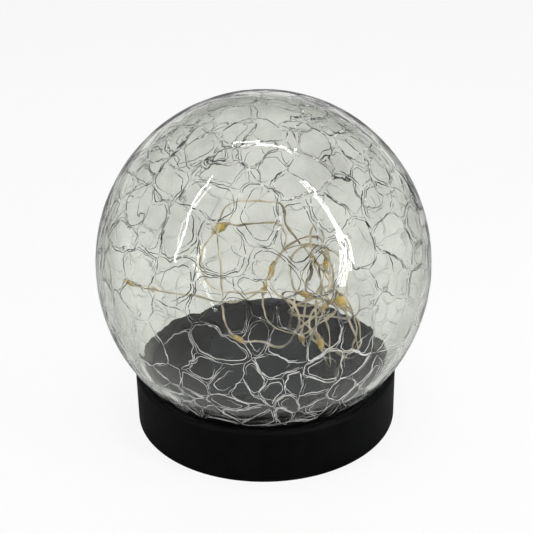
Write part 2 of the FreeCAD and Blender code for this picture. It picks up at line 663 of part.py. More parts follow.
def make_battery():
    start = ("battery_start", "door_centre_y", "battery_z")
    can = lying_cylinder("battery_can", "battery_radius", "battery_long", start, "x")
    nub = lying_cylinder("battery_nub", "nub_radius", "battery_long + nub_long", start, "x")
    tray = box("tray_blank", ("tray_long", "tray_wide", "tray_top - cover_high"), ("0", "door_centre_y"),
               "cover_high")
    room = box("tray_room", ("tray_long - 2 * tray_wall", "tray_wide - 2 * tray_wall", "tray_top + past"),
               ("0", "door_centre_y"), "0")
    reach = "(tray_long / 2 - tray_wall - contact_thick / 2)"
    plates = []
    for side, name in ((1, "positive_contact"), (-1, "negative_contact")):
        plates.append(box(name, ("contact_thick", "contact_wide", "contact_high - contact_low"),
                          ("%d * %s" % (side, reach), "door_centre_y"), "contact_low"))
    first = -size("tray_long") / 2 + size("tray_wall") + size("contact_thick") + size("spring_wire")
    last = size("battery_start") - size("spring_wire")
    helix = Part.makeHelix(size("spring_pitch"), last - first, size("spring_radius"))
    ring = Part.Wire(Part.Circle(FreeCAD.Vector(size("spring_radius"), 0, 0), FreeCAD.Vector(0, 1, 0),
                                 size("spring_wire")).toShape())
    coil = Part.Wire(helix.Edges).makePipeShell([ring], True, True)
    coil.rotate(ORIGIN, FreeCAD.Vector(0, 1, 0), 90)
    spring = feature("contact_spring", coil)
    spring.Placement.Base = FreeCAD.Vector(first, size("door_centre_y"), size("battery_z"))
    return [union("battery", [can, nub]), cut("battery_tray", tray, [room])] + plates + [spring]


# The inner leads' corners; the last ones start at the contact plates, the deck and the grommet.
BATTERY_LEAD_POINTS = [(24, -4.6, 13.8), (21.1, 0.5, 13.7), (16.5, 3.4, 11.6), (14.5, 6.5, 9.8)]
SOLAR_LEAD_POINTS = [(1, 6, 13.4), (2.6, 7.2, 9.6)]
STRING_LEAD_POINTS = [(26, -11, 12.4), (27, -8.5, 11.2), (27.9, -3, 10.4), (26, 3, 10.2), (21, 7.5, 10.4),
                      (15.8, 10.5, 10.2)]
BATTERY_LEAD_END = (14.5, 7.5)
SOLAR_LEAD_END = (2.6, 7.2)
STRING_LEAD_END = (15, 12)
BATTERY_LEAD_START_Y = -5


def mirrored(points, side):
    return [(side * x, y, z) for x, y, z in points]


def make_leads():
    radius = size("lead_radius")
    board_top = size("board_low") + size("board_thick") + size("solder_gap")
    plate_top = size("contact_high") + size("solder_gap")
    plate_x = size("tray_long") / 2 - size("tray_wall") - size("contact_thick") / 2
    deck_low = size("tower_top") + size("deck_thick") - size("panel_thick")
    mouth = size("tower_top") + size("deck_thick") + size("grommet_head")
    to_battery = ([(plate_x, BATTERY_LEAD_START_Y, plate_top)] + BATTERY_LEAD_POINTS
                  + [BATTERY_LEAD_END + (board_top,)])
    to_panel = [SOLAR_LEAD_POINTS[0][:2] + (deck_low,)] + SOLAR_LEAD_POINTS + [SOLAR_LEAD_END + (board_top,)]
    to_string = [STRING_LEAD_POINTS[0][:2] + (mouth,)] + STRING_LEAD_POINTS + [STRING_LEAD_END + (board_top,)]
    battery_leads = [lead("battery_lead", mirrored(to_battery, side), radius) for side in (1, -1)]
    solar_leads = [lead("solar_lead", mirrored(to_panel, side), radius) for side in (1, -1)]
    inner = lead("string_inner_lead", to_string, size("string_wire") / 2)
    return [feature("battery_leads", Part.makeCompound(battery_leads)),
            feature("solar_leads", Part.makeCompound(solar_leads)), feature("string_inner_lead", inner)]


# ---- bottom cover and battery door --------------------------------------------------------

def make_bottom_cover():
    body = new_body("cover_plate")
    pad(body, circle_sketch(body, "cover_disc", "cover_radius", ("0", "0", "cover_low")),
        "cover_high - cover_low")
    first_screw = ("boss_circle * cos(cover_screw_angle * 1 deg)", "boss_circle * sin(cover_screw_angle * 1 deg)")
    hole = circle_sketch(body, "cover_clearance", "cover_shank + hole_play", first_screw + ("cover_high",))
    repeat_round(body, pocket(body, hole, "cover_high - cover_low", False), "cover_screw_count")
    recess = circle_sketch(body, "cover_recess", "cover_head + hole_play",
                           first_screw + ("cover_low + head_sunk + head_tall",))
    repeat_round(body, pocket(body, recess, "head_sunk + head_tall", False), "cover_screw_count")
    posts = [cylinder("board_post_%d" % (i + 1), "post_radius", "board_low - cover_high + merge",
                      ("%d * post_x" % side, "post_y", "cover_high - merge")) for i, side in enumerate((-1, 1))]
    boss = cylinder("door_boss", "door_boss_radius", "door_boss_top - cover_high + merge",
                    ("ear_x", "door_centre_y", "cover_high - merge"))
    whole = union("cover_with_posts", [body, boss] + posts)
    bed_tall = "door_low + door_thick + door_seat - cover_low + past"
    bed_long = "door_end_x - door_axis_x + door_thick / 2 + 2 * door_play"
    bed_middle = "(door_end_x + door_axis_x - door_thick / 2) / 2"
    tools = [
        box("door_bed", (bed_long, "door_wide + 2 * door_play", bed_tall),
            (bed_middle, "door_centre_y"), "cover_low - past"),
        cylinder("ear_bed", "ear_radius + door_play", bed_tall, ("ear_x", "door_centre_y", "cover_low - past")),
        box("battery_bay", ("bay_long", "bay_wide", "cover_high"), ("0", "door_centre_y"), "cover_low"),
        box("switch_window", ("window_long", "window_wide", "cover_high"), ("0", "board_y"),
            "cover_low - past"),
        cylinder("door_screw_hole", "door_shank + hole_play", "door_boss_top - cover_low",
                 ("ear_x", "door_centre_y", "cover_low - merge")),
        lying_cylinder("trunnion_holes", "trunnion_radius + trunnion_play",
                       "door_wide + 2 * trunnion_long + 2 * door_play",
                       ("door_axis_x", "door_centre_y - door_wide / 2 - trunnion_long - door_play",
                        "door_axis_z"), "y")]
    tools += [cylinder("post_hole_%d" % (i + 1), "board_shank + shank_play", "board_low",
                       ("%d * post_x" % side, "post_y", "board_screw_low - hole_play / 2"))
              for i, side in enumerate((-1, 1))]
    return cut("bottom_cover", whole, tools)


def make_battery_door():
    long = "door_end_x - door_axis_x"
    plate = box("door_plate", (long, "door_wide", "door_thick"),
                ("(door_end_x + door_axis_x) / 2", "door_centre_y"), "door_low")
    nose = lying_cylinder("door_nose", "door_thick / 2", "door_wide",
                          ("door_axis_x", "door_centre_y - door_wide / 2", "door_axis_z"), "y")
    trunnions = lying_cylinder("door_trunnions", "trunnion_radius", "door_wide + 2 * trunnion_long",
                               ("door_axis_x", "door_centre_y - door_wide / 2 - trunnion_long",
                                "door_axis_z"), "y")
    ear = cylinder("door_ear", "ear_radius", "door_thick", ("ear_x", "door_centre_y", "door_low"))
    count = int(size("door_rib_count"))
    ribs = [box("door_rib_%d" % (i + 1), ("rib_thick", "bay_wide - 2 * rib_end", "door_rib_tall + merge"),
                ("rib_pitch * %.1f" % (i - (count - 1) / 2), "door_centre_y"), "door_low + door_thick - merge")
            for i in range(count)]
    whole = union("door_whole", [plate, nose, trunnions, ear] + ribs)
    tools = [cylinder("door_head_room", "door_head + hole_play", "head_tall",
                      ("ear_x", "door_centre_y", "door_low - head_sunk")),
             cylinder("door_screw_room", "door_shank + shank_play", "door_thick + past",
                      ("ear_x", "door_centre_y", "door_low - merge"))]
    return cut("battery_door", whole, tools)


# ---- globe, collar and seal ---------------------------------------------------------------

def make_globe():
    wall = -size("glass_wall")
    gap = size("glue_gap")
    cut_z = size("glass_cut")
    top = size("globe_centre") + size("globe_half_height")
    glass = spin([glass_curve(0, cut_z, top), glass_curve(wall, cut_z, top + wall),
                  line((0, top), (0, top + wall)),
                  line((glass_radius(cut_z, 0), cut_z), (glass_radius(cut_z, wall), cut_z))])
    bed = cut_z - gap
    outer_top = size("glue_outer_top")
    inner_top = size("glue_inner_top")
    glue = spin([glass_curve(gap, bed, outer_top), glass_curve(0, cut_z, outer_top),
                 line((glass_radius(outer_top, 0), outer_top), (glass_radius(outer_top, gap), outer_top)),
                 line((glass_radius(bed, gap), bed), (glass_radius(bed, wall - gap), bed)),
                 line((glass_radius(cut_z, 0), cut_z), (glass_radius(cut_z, wall), cut_z)),
                 glass_curve(wall - gap, bed, inner_top), glass_curve(wall, cut_z, inner_top),
                 line((glass_radius(inner_top, wall), inner_top),
                      (glass_radius(inner_top, wall - gap), inner_top))])
    rim = size("collar_outer_top")
    tip = size("collar_inner_top")
    inside = wall - gap - size("collar_wall")
    foot = size("upstand_low")
    collar = spin(chain([(glass_radius(foot, inside), foot), (size("collar_lip_radius"), size("collar_lip_bottom")),
                         (size("skirt_inner_radius"), size("collar_lip_bottom")),
                         (size("skirt_inner_radius"), size("collar_bottom")),
                         (size("collar_radius"), size("collar_bottom")), (size("collar_radius"), rim),
                         (glass_radius(rim, gap), rim)])
                  + [glass_curve(gap, bed, rim),
                     line((glass_radius(bed, gap), bed), (glass_radius(bed, wall - gap), bed)),
                     glass_curve(wall - gap, bed, tip),
                     line((glass_radius(tip, wall - gap), tip), (glass_radius(tip, inside), tip)),
                     glass_curve(inside, foot, tip)])
    lugs = screw_blocks("thread_lug", size("collar_radius") - size("root_depth"), size("lug_radius"),
                        size("lug_base"), size("lug_tall"), size("lug_span"))
    collar_ring = feature("collar_ring", collar)
    return [feature("glass_globe", glass), feature("globe_adhesive", glue),
            union("neck_collar", [collar_ring] + lugs)]


def make_seal():
    spot = ("0", "0")
    ring = cylinder("seal_blank", "seal_outer_radius", "seal_thick", spot + ("floor_high",))
    room = cylinder("seal_room", "seal_inner_radius", "seal_thick + 2 * past", spot + ("floor_high - past",))
    return cut("seal_ring", ring, [room])


# ---- the whole light ----------------------------------------------------------------------

parts = [make_base_housing(), make_bottom_cover(), make_battery_door(), make_top_deck(), make_grommet(),
         make_circuit_board(), make_seal()]
parts += make_globe()
parts += make_solar_panel()
parts += make_board_parts()
parts += make_switch()
parts += make_battery()
parts += make_leads()
parts += make_light_string()
parts.append(group("cover_screws", [
    pan_screw("cover_screw_%d" % (i + 1), cover_screw_spot(i), "cover_head", "cover_shank",
              "cover_low + head_sunk", "cover_screw_top") for i in range(int(size("cover_screw_count")))]))
parts.append(pan_screw("door_screw", ("ear_x", "door_centre_y"), "door_head", "door_shank",
                       "door_low - head_sunk", "door_screw_top"))
doc.recompute()

for item in doc.Objects:
    if "Invalid" in item.State or "Error" in item.State:
        raise RuntimeError("%s failed: %s" % (item.Name, item.State))
for part in parts:
    if part.Shape.isNull() or not part.Shape.isValid():
        raise RuntimeError("%s has no valid shape" % part.Label)

os.makedirs("parts", exist_ok=True)
for part in parts:
    part.Shape.exportStep("parts/%s.step" % part.Label)
    print("%-22s solids %2d volume %9.1f mm3" % (part.Label, len(part.Shape.Solids), part.Shape.Volume))
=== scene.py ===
import math
import random
import bmesh
import bpy
import numpy as np
from mathutils import Matrix, Vector, noise


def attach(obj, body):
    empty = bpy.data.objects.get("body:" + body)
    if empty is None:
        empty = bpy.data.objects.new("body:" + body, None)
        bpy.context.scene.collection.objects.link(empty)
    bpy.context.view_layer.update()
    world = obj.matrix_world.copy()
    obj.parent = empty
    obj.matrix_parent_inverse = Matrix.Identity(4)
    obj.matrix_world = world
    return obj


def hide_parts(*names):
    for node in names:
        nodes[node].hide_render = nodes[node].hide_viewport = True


# Garden globe light. Metres, in the CAD's frame: +Z up, the front faces -Y.

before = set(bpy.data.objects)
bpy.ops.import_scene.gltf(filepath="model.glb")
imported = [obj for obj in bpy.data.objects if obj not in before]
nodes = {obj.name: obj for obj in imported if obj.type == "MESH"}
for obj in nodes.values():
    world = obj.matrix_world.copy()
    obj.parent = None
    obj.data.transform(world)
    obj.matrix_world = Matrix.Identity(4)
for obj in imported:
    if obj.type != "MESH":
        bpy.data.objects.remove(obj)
for leftover in ("Cube", "Camera", "Light"):
    if leftover in bpy.data.objects:
        bpy.data.objects.remove(bpy.data.objects[leftover])
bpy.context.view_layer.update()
MM = 0.001

# Globe: an ellipsoid's half axes and centre height, its wall, and how high up its mouth is cut.
GLOBE_RADIUS = 60 * MM
GLOBE_HALF = 62 * MM
GLOBE_CENTRE = 60.8 * MM
WALL = 2.4 * MM
CUT = 14 * MM


def link(name, data):
    """A new object in the scene that shows the data."""
    item = bpy.data.objects.new(name, data)
    bpy.context.scene.collection.objects.link(item)
    return item


# ---- camera --------------------

def make_camera():
    """The photograph's camera, as it was fitted to the outlines of the globe and the base."""
    aim = Vector((1.0, 0, 59.12)) * MM
    distance = 431.7 * MM
    tilt = math.radians(26.61)
    roll = math.radians(-0.945)
    forward = Vector((0, math.cos(tilt), -math.sin(tilt)))
    right = Vector((1, 0, 0))
    up = right.cross(forward)
    turned_right = right * math.cos(roll) + up * math.sin(roll)
    turned_up = up * math.cos(roll) - right * math.sin(roll)
    data = bpy.data.cameras.new("view")
    data.lens = 81.05
    data.sensor_width = 36
    camera = link("view", data)
    turn = Matrix((turned_right, turned_up, -forward)).transposed().to_4x4()
    camera.matrix_world = Matrix.Translation(aim - forward * distance) @ turn
    bpy.context.scene.camera = camera


# ---- light string --------------------

# The beads' pitch and number.
BEAD_PITCH = 0.102
BEAD_COUNT = 13
# Control points: out of the deck up to the loops, and from the loops to the last bead.
LEAD_IN_POINTS = [(0.026, -0.011, 0.0172), (0.026, -0.011, 0.0216), (0.029, -0.010, 0.0274)]
RUN_POINTS = [
    (0.0085, 0.018, 0.076), (0.002, 0.015, 0.078), (-0.0055, 0.012, 0.080), (-0.012, 0.009, 0.0805),
    (-0.0155, 0.007, 0.0765), (-0.0165, 0.004, 0.066), (-0.015, 0.001, 0.0555), (-0.0155, -0.002, 0.0455),
    (-0.014, -0.005, 0.0375), (-0.0095, -0.008, 0.033), (-0.002, -0.011, 0.035), (0.004, -0.014, 0.033),
    (0.009, -0.019, 0.0385), (0.0125, -0.022, 0.047), (0.011, -0.023, 0.0555), (0.005, -0.021, 0.059),
    (-0.003, -0.018, 0.0585), (-0.011, -0.014, 0.056), (-0.0185, -0.010, 0.056), (-0.0225, -0.004, 0.060),
    (-0.0215, 0.003, 0.066), (-0.017, 0.011, 0.069), (-0.010, 0.013, 0.070), (-0.0025, 0.012, 0.071),
    (0.0045, 0.010, 0.0725), (0.009, 0.005, 0.0705), (0.008, 0, 0.0665), (0.003, -0.003, 0.060),
    (-0.0005, -0.007, 0.0535), (-0.0085, -0.010, 0.050), (-0.0165, -0.009, 0.050), (-0.025, -0.006, 0.051),
    (-0.034, -0.003, 0.0505), (-0.0425, 0, 0.051), (-0.0495, 0.003, 0.052)]
# The loops' formula: lengths in mm, heading and lean in degrees, phases in radians. The heading's rate is
# per turn, the others per radian, and lift_rate multiplies drift_rate.
LOOPS = {
    "turns": 10, "size": 14.97, "size_swing": 5.25, "size_rate": 0.253, "size_phase": 4.17,
    "heading": 0.92, "heading_rate": 47.37, "lean": 65.84, "lean_swing": 23.19, "lean_rate": 0.287,
    "lean_phase": 4.27, "narrow": 0.98, "centre_x": 19.85, "centre_y": 0.85, "centre_z": 46,
    "drift_x": 5.45, "drift_y": 3.84, "drift_z": 0.4, "drift_rate": 0.08, "drift_phase": 1.4,
    "lift_rate": 1.7, "rise": 27.07,
}
LOOP_POINTS_A_TURN = 16
# At both ends the loops go on straight: a short stub, and a control point further off.
STUB = 1.0 * MM
APPROACH = 6.5 * MM
ROUTE_RESOLUTION = 8
ROUTE_STEP = 0.8 * MM


def loop_point(turn):
    """Where the loops are after so many turns."""
    angle = 2 * math.pi * turn
    radius = LOOPS["size"] + LOOPS["size_swing"] * math.sin(LOOPS["size_rate"] * angle + LOOPS["size_phase"])
    heading = math.radians(LOOPS["heading"] + LOOPS["heading_rate"] * turn)
    lean = math.radians(
        LOOPS["lean"] + LOOPS["lean_swing"] * math.sin(LOOPS["lean_rate"] * angle + LOOPS["lean_phase"]))
    across = radius * LOOPS["narrow"] * math.cos(angle)
    along = radius * math.sin(angle)
    sideways = along * math.cos(lean)
    drift = LOOPS["drift_rate"] * angle + LOOPS["drift_phase"]
    lift = LOOPS["rise"] * (turn / LOOPS["turns"] - 0.5)
    lift += LOOPS["drift_z"] * math.sin(LOOPS["lift_rate"] * LOOPS["drift_rate"] * angle)
    return Vector((
        LOOPS["centre_x"] + LOOPS["drift_x"] * math.sin(drift)
        + across * math.cos(heading) - sideways * math.sin(heading),
        LOOPS["centre_y"] + LOOPS["drift_y"] * math.cos(drift)
        + across * math.sin(heading) + sideways * math.cos(heading),
        LOOPS["centre_z"] + lift + along * math.sin(lean))) * MM


def loop_heading(turn):
    """The direction of the loops there."""
    step = 0.001
    return (loop_point(turn + step) - loop_point(turn - step)).normalized()


def string_points():
    """The string's control points from the deck to the last bead."""
    turns = LOOPS["turns"]
    start = loop_point(0) - loop_heading(0) * STUB
    end = loop_point(turns) + loop_heading(turns) * STUB
    points = [Vector(point) for point in LEAD_IN_POINTS]
    points += [start - loop_heading(0) * APPROACH, start]
    points += [loop_point(step / LOOP_POINTS_A_TURN) for step in range(turns * LOOP_POINTS_A_TURN + 1)]
    points += [end, end + loop_heading(turns) * APPROACH]
    return points + [Vector(point) for point in RUN_POINTS]


def spline_line(name, points, resolution):
    """The points of a smooth NURBS line that has the given control points."""
    curve = bpy.data.curves.new(name, "CURVE")
    curve.dimensions = "3D"
    spline = curve.splines.new("NURBS")
    spline.points.add(len(points) - 1)
    for place, point in zip(spline.points, points):
        place.co = (point[0], point[1], point[2], 1)
    spline.order_u = 3
    spline.use_endpoint_u = True
    spline.resolution_u = resolution
    item = link(name, curve)
    bpy.context.view_layer.update()
    mesh = bpy.data.meshes.new_from_object(item)
    line = [vertex.co.copy() for vertex in mesh.vertices]
    bpy.data.objects.remove(item)
    bpy.data.curves.remove(curve)
    bpy.data.meshes.remove(mesh)
    return line


def even(line, step):
    """The line again, in equal steps of about that length, and its whole length."""
    lengths = [0.0]
    for i in range(1, len(line)):
        lengths.append(lengths[-1] + (line[i] - line[i - 1]).length)
    count = max(2, int(round(lengths[-1] / step)))
    found = []
    at = 0
    for i in range(count + 1):
        want = lengths[-1] * i / count
        while at < len(line) - 2 and lengths[at + 1] < want:
            at += 1
        span = lengths[at + 1] - lengths[at]
        share = 0 if span == 0 else (want - lengths[at]) / span
        found.append(line[at].lerp(line[at + 1], min(1, share)))
    return found, lengths[-1]


def carried_frames(line):
    """At each point the direction along the line, and two across it that turn as little as they can."""
    found = []
    across = None
    for i in range(len(line)):
        along = (line[min(i + 1, len(line) - 1)] - line[max(i - 1, 0)]).normalized()
        if across is None:
            across = along.orthogonal().normalized()
        across = (across - along * across.dot(along)).normalized()
        found.append((along, across, along.cross(across)))
    return found


def sweep(verts, faces, rings):
    """Adds a closed tube through rings of points, capped at both ends."""
    sides = len(rings[0])
    first = len(verts)
    for ring in rings:
        verts.extend(ring)
    for i in range(len(rings) - 1):
        for j in range(sides):
            a = first + i * sides + j
            b = first + i * sides + (j + 1) % sides
            faces.append((a, b, b + sides, a + sides))
    faces.append(tuple(first + j for j in reversed(range(sides))))
    last = first + (len(rings) - 1) * sides
    faces.append(tuple(last + j for j in range(sides)))


def mesh_of(name, verts, faces, faceted=False):
    """A mesh with smooth faces, unless it is to look faceted."""
    mesh = bpy.data.meshes.new(name)
    mesh.from_pydata([tuple(vert) for vert in verts], [], faces)
    mesh.update()
    mesh.polygons.foreach_set("use_smooth", [not faceted] * len(mesh.polygons))
    return mesh


# The two strands: their radius, how far each lies off the route, and the length of one full twist.
STRAND_RADIUS = 0.225 * MM
STRAND_OFFSET = 0.224 * MM
STRAND_LAY = 38 * MM
STRAND_SIDES = 6
# How far the twist wanders in radians, and how quickly along the string.
TWIST_WANDER = 1.3
TWIST_RATE = 60


def make_string(line, length):
    """Two enamelled strands side by side that turn slowly round each other."""
    frames = carried_frames(line)
    verts = []
    faces = []
    step = length / (len(line) - 1)
    for side in (0, math.pi):
        rings = []
        for i, (point, (along, across, up)) in enumerate(zip(line, frames)):
            wander = TWIST_WANDER * noise.noise(point * TWIST_RATE)
            turn = 2 * math.pi * step * i / STRAND_LAY + side + wander
            middle = point + (across * math.cos(turn) + up * math.sin(turn)) * STRAND_OFFSET
            rings.append([middle + (across * math.cos(a) + up * math.sin(a)) * STRAND_RADIUS
                          for a in (2 * math.pi * k / STRAND_SIDES for k in range(STRAND_SIDES))])
        sweep(verts, faces, rings)
    return link("light_string", mesh_of("light_string", verts, faces))


# A bead in mm: its length, the radius of its belly and of its tails, and the most its radius may be.
BEAD_LENGTH = 7.0
BEAD_BELLY = 1.42
BEAD_TAIL = 0.5
BEAD_MOST = 1.46
BEAD_STEPS = 24
BEAD_SIDES = 16
# The form of belly and tails: how full the belly is, how much it is pinched, how quickly the tails thin.
BELLY_POWER = 0.8
BELLY_PINCH = 0.22
TAIL_POWER = 3
# How far the beads are off round and even, and how many lumps there are along and across one. Each bead
# takes its flatness from its own place in the noise.
BEAD_FLAT = 0.12
BEAD_SEED_STEP = 3.1
BEAD_ROUGH = 0.05
BEAD_LUMPS = (4, 2)
# A chip: the corners of its section, and its rings in mm: place along the wire, half width, half height.
CHIP_SECTION = ((-1, -0.6), (-0.6, -1), (0.6, -1), (1, -0.6), (1, 0.6), (0.6, 1), (-0.6, 1), (-1, 0.6))
CHIP_RINGS = ((-1.35, 0.5, 0.42), (-1.2, 0.78, 0.66), (1.2, 0.78, 0.66), (1.35, 0.5, 0.42))


def bead_radius(share):
    """How thick a bead is at a share of its length: a belly, drawn out to thin tails on the wire."""
    bulge = math.sin(math.pi * share)
    pinch = 1 - BELLY_PINCH * math.cos(2 * math.pi * share) ** 2
    belly = BEAD_BELLY * bulge ** BELLY_POWER * pinch
    tails = BEAD_TAIL * (1 - bulge) ** TAIL_POWER
    return min((tails + belly) * MM, BEAD_MOST * MM)


def bead_rings(number, point, along, across, up):
    """The rings of one resin drop; each number has its own unevenness."""
    flat = 1 + BEAD_FLAT * noise.noise(Vector((number * BEAD_SEED_STEP, 0.5, 0.2)))
    rings = []
    for k in range(BEAD_STEPS + 1):
        share = k / BEAD_STEPS
        reach = (share - 0.5) * BEAD_LENGTH * MM
        ring = []
        for j in range(BEAD_SIDES):
            a = 2 * math.pi * j / BEAD_SIDES
            lump = Vector((number, share * BEAD_LUMPS[0], math.cos(a) * BEAD_LUMPS[1]))
            size = bead_radius(share) * (1 + BEAD_ROUGH * noise.noise(lump))
            ring.append(point + along * reach
                        + across * math.cos(a) * size * flat + up * math.sin(a) * size / flat)
        rings.append(ring)
    return rings


def chip_rings(point, along, across, up):
    """The rings of the block of phosphor in a bead."""
    rings = []
    for reach, wide, tall in CHIP_RINGS:
        middle = point + along * reach * MM
        rings.append([middle + across * x * wide * MM + up * y * tall * MM for x, y in CHIP_SECTION])
    return rings


def make_beads(line, length):
    """Resin drops with a yellow chip in each, at their pitch from the string's far end."""
    frames = carried_frames(line)
    step = length / (len(line) - 1)
    drops = ([], [])
    chips = ([], [])
    for number in range(BEAD_COUNT):
        at = min(len(line) - 1, max(0, int(round((length - number * BEAD_PITCH) / step))))
        sweep(*drops, bead_rings(number, line[at], *frames[at]))
        sweep(*chips, chip_rings(line[at], *frames[at]))
    return (link("string_beads", mesh_of("string_beads", *drops)),
            link("string_chips", mesh_of("string_chips", *chips)))


# ---- materials --------------------

# How far the fine relief of a plain surface reaches.
BUMP_REACH = 0.05 * MM


def new_material(name):
    """An empty material with its nodes and links."""
    material = bpy.data.materials.new(name)
    material.use_nodes = True
    material.node_tree.nodes.clear()
    return material, material.node_tree.nodes, material.node_tree.links


def shaded(name):
    """A material whose output is a Principled shader, and that shader."""
    material, tree, links = new_material(name)
    out = tree.new("ShaderNodeOutputMaterial")
    shader = tree.new("ShaderNodeBsdfPrincipled")
    links.new(shader.outputs["BSDF"], out.inputs["Surface"])
    return material, tree, links, shader


def placed(tree, links, kind, output="Object"):
    """A node of that kind, fed with the object's coordinates or other ones."""
    node = tree.new(kind)
    links.new(tree.new("ShaderNodeTexCoord").outputs[output], node.inputs["Vector"])
    return node


def object_noise(tree, links, scale, detail, roughness=0.55):
    """Noise that stays with the object."""
    grain = placed(tree, links, "ShaderNodeTexNoise")
    grain.inputs["Scale"].default_value = scale
    grain.inputs["Detail"].default_value = detail
    grain.inputs["Roughness"].default_value = roughness
    return grain


def ramp(tree, links, source, stops):
    """A colour ramp fed from source; each stop is (place, colour)."""
    node = tree.new("ShaderNodeValToRGB")
    elements = node.color_ramp.elements
    elements[0].position, elements[1].position = stops[0][0], stops[-1][0]
    elements[0].color = stops[0][1] + (1,)
    elements[1].color = stops[-1][1] + (1,)
    for place, colour in stops[1:-1]:
        elements.new(place).color = colour + (1,)
    links.new(source, node.inputs["Fac"])
    return node.outputs["Color"]


def grey(level):
    return (level, level, level)


def mixed(tree, links, share, first, second):
    """The colour at a share from first to second; second may be a plain colour."""
    mix = tree.new("ShaderNodeMix")
    mix.data_type = "RGBA"
    links.new(share, mix.inputs["Factor"])
    links.new(first, mix.inputs["A"])
    if isinstance(second, tuple):
        mix.inputs["B"].default_value = second + (1,)
    else:
        links.new(second, mix.inputs["B"])
    return mix.outputs["Result"]


def mix_out(tree, links, kind, share, first, second):
    """An output of that kind that shows a mix of two shaders."""
    out = tree.new(kind)
    mix = tree.new("ShaderNodeMixShader")
    links.new(share, mix.inputs["Fac"])
    links.new(first.outputs[0], mix.inputs[1])
    links.new(second.outputs[0], mix.inputs[2])
    links.new(mix.outputs["Shader"], out.inputs["Surface"])


def roughen(tree, links, shader, height, strength, reach):
    """Gives a shader fine relief from a height."""
    relief = tree.new("ShaderNodeBump")
    relief.inputs["Strength"].default_value = strength
    relief.inputs["Distance"].default_value = reach
    links.new(height, relief.inputs["Height"])
    links.new(relief.outputs["Normal"], shader.inputs["Normal"])


def surface(name, dark, light, scale, roughness, metallic=0.0, bump=0.1, bump_scale=2500, coat=0.0,
            specular=0.5, spread=0.12):
    """A material whose colour, gloss and fine relief vary a little over the surface.

    The colour goes from dark to light in patches, the roughness by the spread about its mean."""
    material, tree, links, shader = shaded(name)
    patches = object_noise(tree, links, scale, detail=4)
    colour = ramp(tree, links, patches.outputs["Fac"], [(0.3, dark), (0.7, light)])
    links.new(colour, shader.inputs["Base Color"])
    low, high = roughness - spread / 2, roughness + spread / 2
    rough = ramp(tree, links, patches.outputs["Fac"], [(0.25, grey(low)), (0.75, grey(high))])
    links.new(rough, shader.inputs["Roughness"])
    shader.inputs["Metallic"].default_value = metallic
    shader.inputs["Coat Weight"].default_value = coat
    shader.inputs["Specular IOR Level"].default_value = specular
    grain = object_noise(tree, links, bump_scale, detail=3)
    roughen(tree, links, shader, grain.outputs["Fac"], bump, BUMP_REACH)
    return material


def dress(name, material):
    """Gives a CAD node its material."""
    data = nodes[name].data
    data.materials.clear()
    data.materials.append(material)


# ---- crackle --------------------

# Cell centres on the globe's front in degrees: round from the front towards +X, and up.
FRONT_CELLS = [
    (-43, 60), (-7, 69), (33, 63), (-46, 45), (-20, 54), (3, 58), (34, 42), (53, 35), (52, 51), (18, 49),
    (-72, 37), (-22, 43), (-45, 32), (-30, 30), (-1, 39), (12, 35), (26, 38), (35, 26), (-48, 18), (-58, 25),
    (-30, 17), (-16, 29), (1, 21), (21, 21), (46, 14), (54, 23), (-47, 7), (-31, 3), (-19, 14), (-12, 8),
    (-3, 15), (11, 11), (30, 11), (43, 0), (-40, -6), (-26, -4), (-16, 0), (-5, 5), (5, 1), (17, 3),
    (30, -3), (-35, -17), (-21, -9), (-15, -14), (-4, -15), (3, -7), (10, -16), (20, -12), (28, -12),
    (32, 79), (-48, 75), (-69, 60), (63, 64)]
# Within FRONT_REACH degrees of the front chance adds cells only at FRONT_GAP times the usual gap, so the
# cells above stay the main ones there.
FRONT_REACH = 52
FRONT_GAP = 1.8
# In a band at each side, between these degrees, the gap is smaller and the cracks are closer together.
SIDE_REACH = (64, 96)
SIDE_GAP = 0.6
# Low on the globe the cells lie in rows: how far up, and how far apart, in degrees. Below that, how far a
# cell may be off its place, round and up.
LOW_ROWS = [(-18, 15), (-23.5, 13), (-29, 13), (-34, 14), (-38.5, 15)]
ROW_STRAY = (4.5, 1.8)
# On a globe of radius 1: the rows are below this height and the scattered cells above it.
LOW_ROWS_TOP = -0.25
# The gap between scattered cells there, and the least share of it and how much may be added to that.
CELL_GAP = 0.225
GAP_LEAST = 0.72
GAP_SPREAD = 0.5
FILL_TRIES = 6000
# The bends of the cracks from long to short: how many to the globe's radius, and how far they reach.
BENDS = ((3.6, 0.07), (9, 0.03), (24, 0.010), (60, 0.005), (150, 0.0022))
# The crackle is the same on every run: one seed for what is drawn, one for the noise that bends it.
chance = random.Random(7)
noise.seed_set(4)


def round_globe(around, up):
    """A spot on a globe of radius 1, from its degrees round and up."""
    around, up = math.radians(around), math.radians(up)
    return Vector((math.cos(up) * math.sin(around), -math.cos(up) * math.cos(around), math.sin(up)))


def cell_centres():
    """The middles of all cells: listed in front, in rows below, scattered elsewhere."""
    found = [round_globe(*place) for place in FRONT_CELLS]
    for up, apart in LOW_ROWS:
        start = chance.uniform(0, apart)
        count = int(360 / apart)
        for step in range(count):
            around = start + 360 * step / count + chance.uniform(-ROW_STRAY[0], ROW_STRAY[0])
            found.append(round_globe(around, up + chance.uniform(-ROW_STRAY[1], ROW_STRAY[1])))
    for _ in range(FILL_TRIES):
        height = chance.uniform(LOW_ROWS_TOP, 1)
        around = chance.uniform(-180, 180)
        spot = round_globe(around, math.degrees(math.asin(height)))
        gap = CELL_GAP * (GAP_LEAST + GAP_SPREAD * chance.random())
        if abs(around) < FRONT_REACH:
            gap *= FRONT_GAP
        elif SIDE_REACH[0] < abs(around) < SIDE_REACH[1]:
            gap *= SIDE_GAP
        if all((spot - other).length > gap for other in found):
            found.append(spot)
    return found + [Vector((0, 0, -1))]


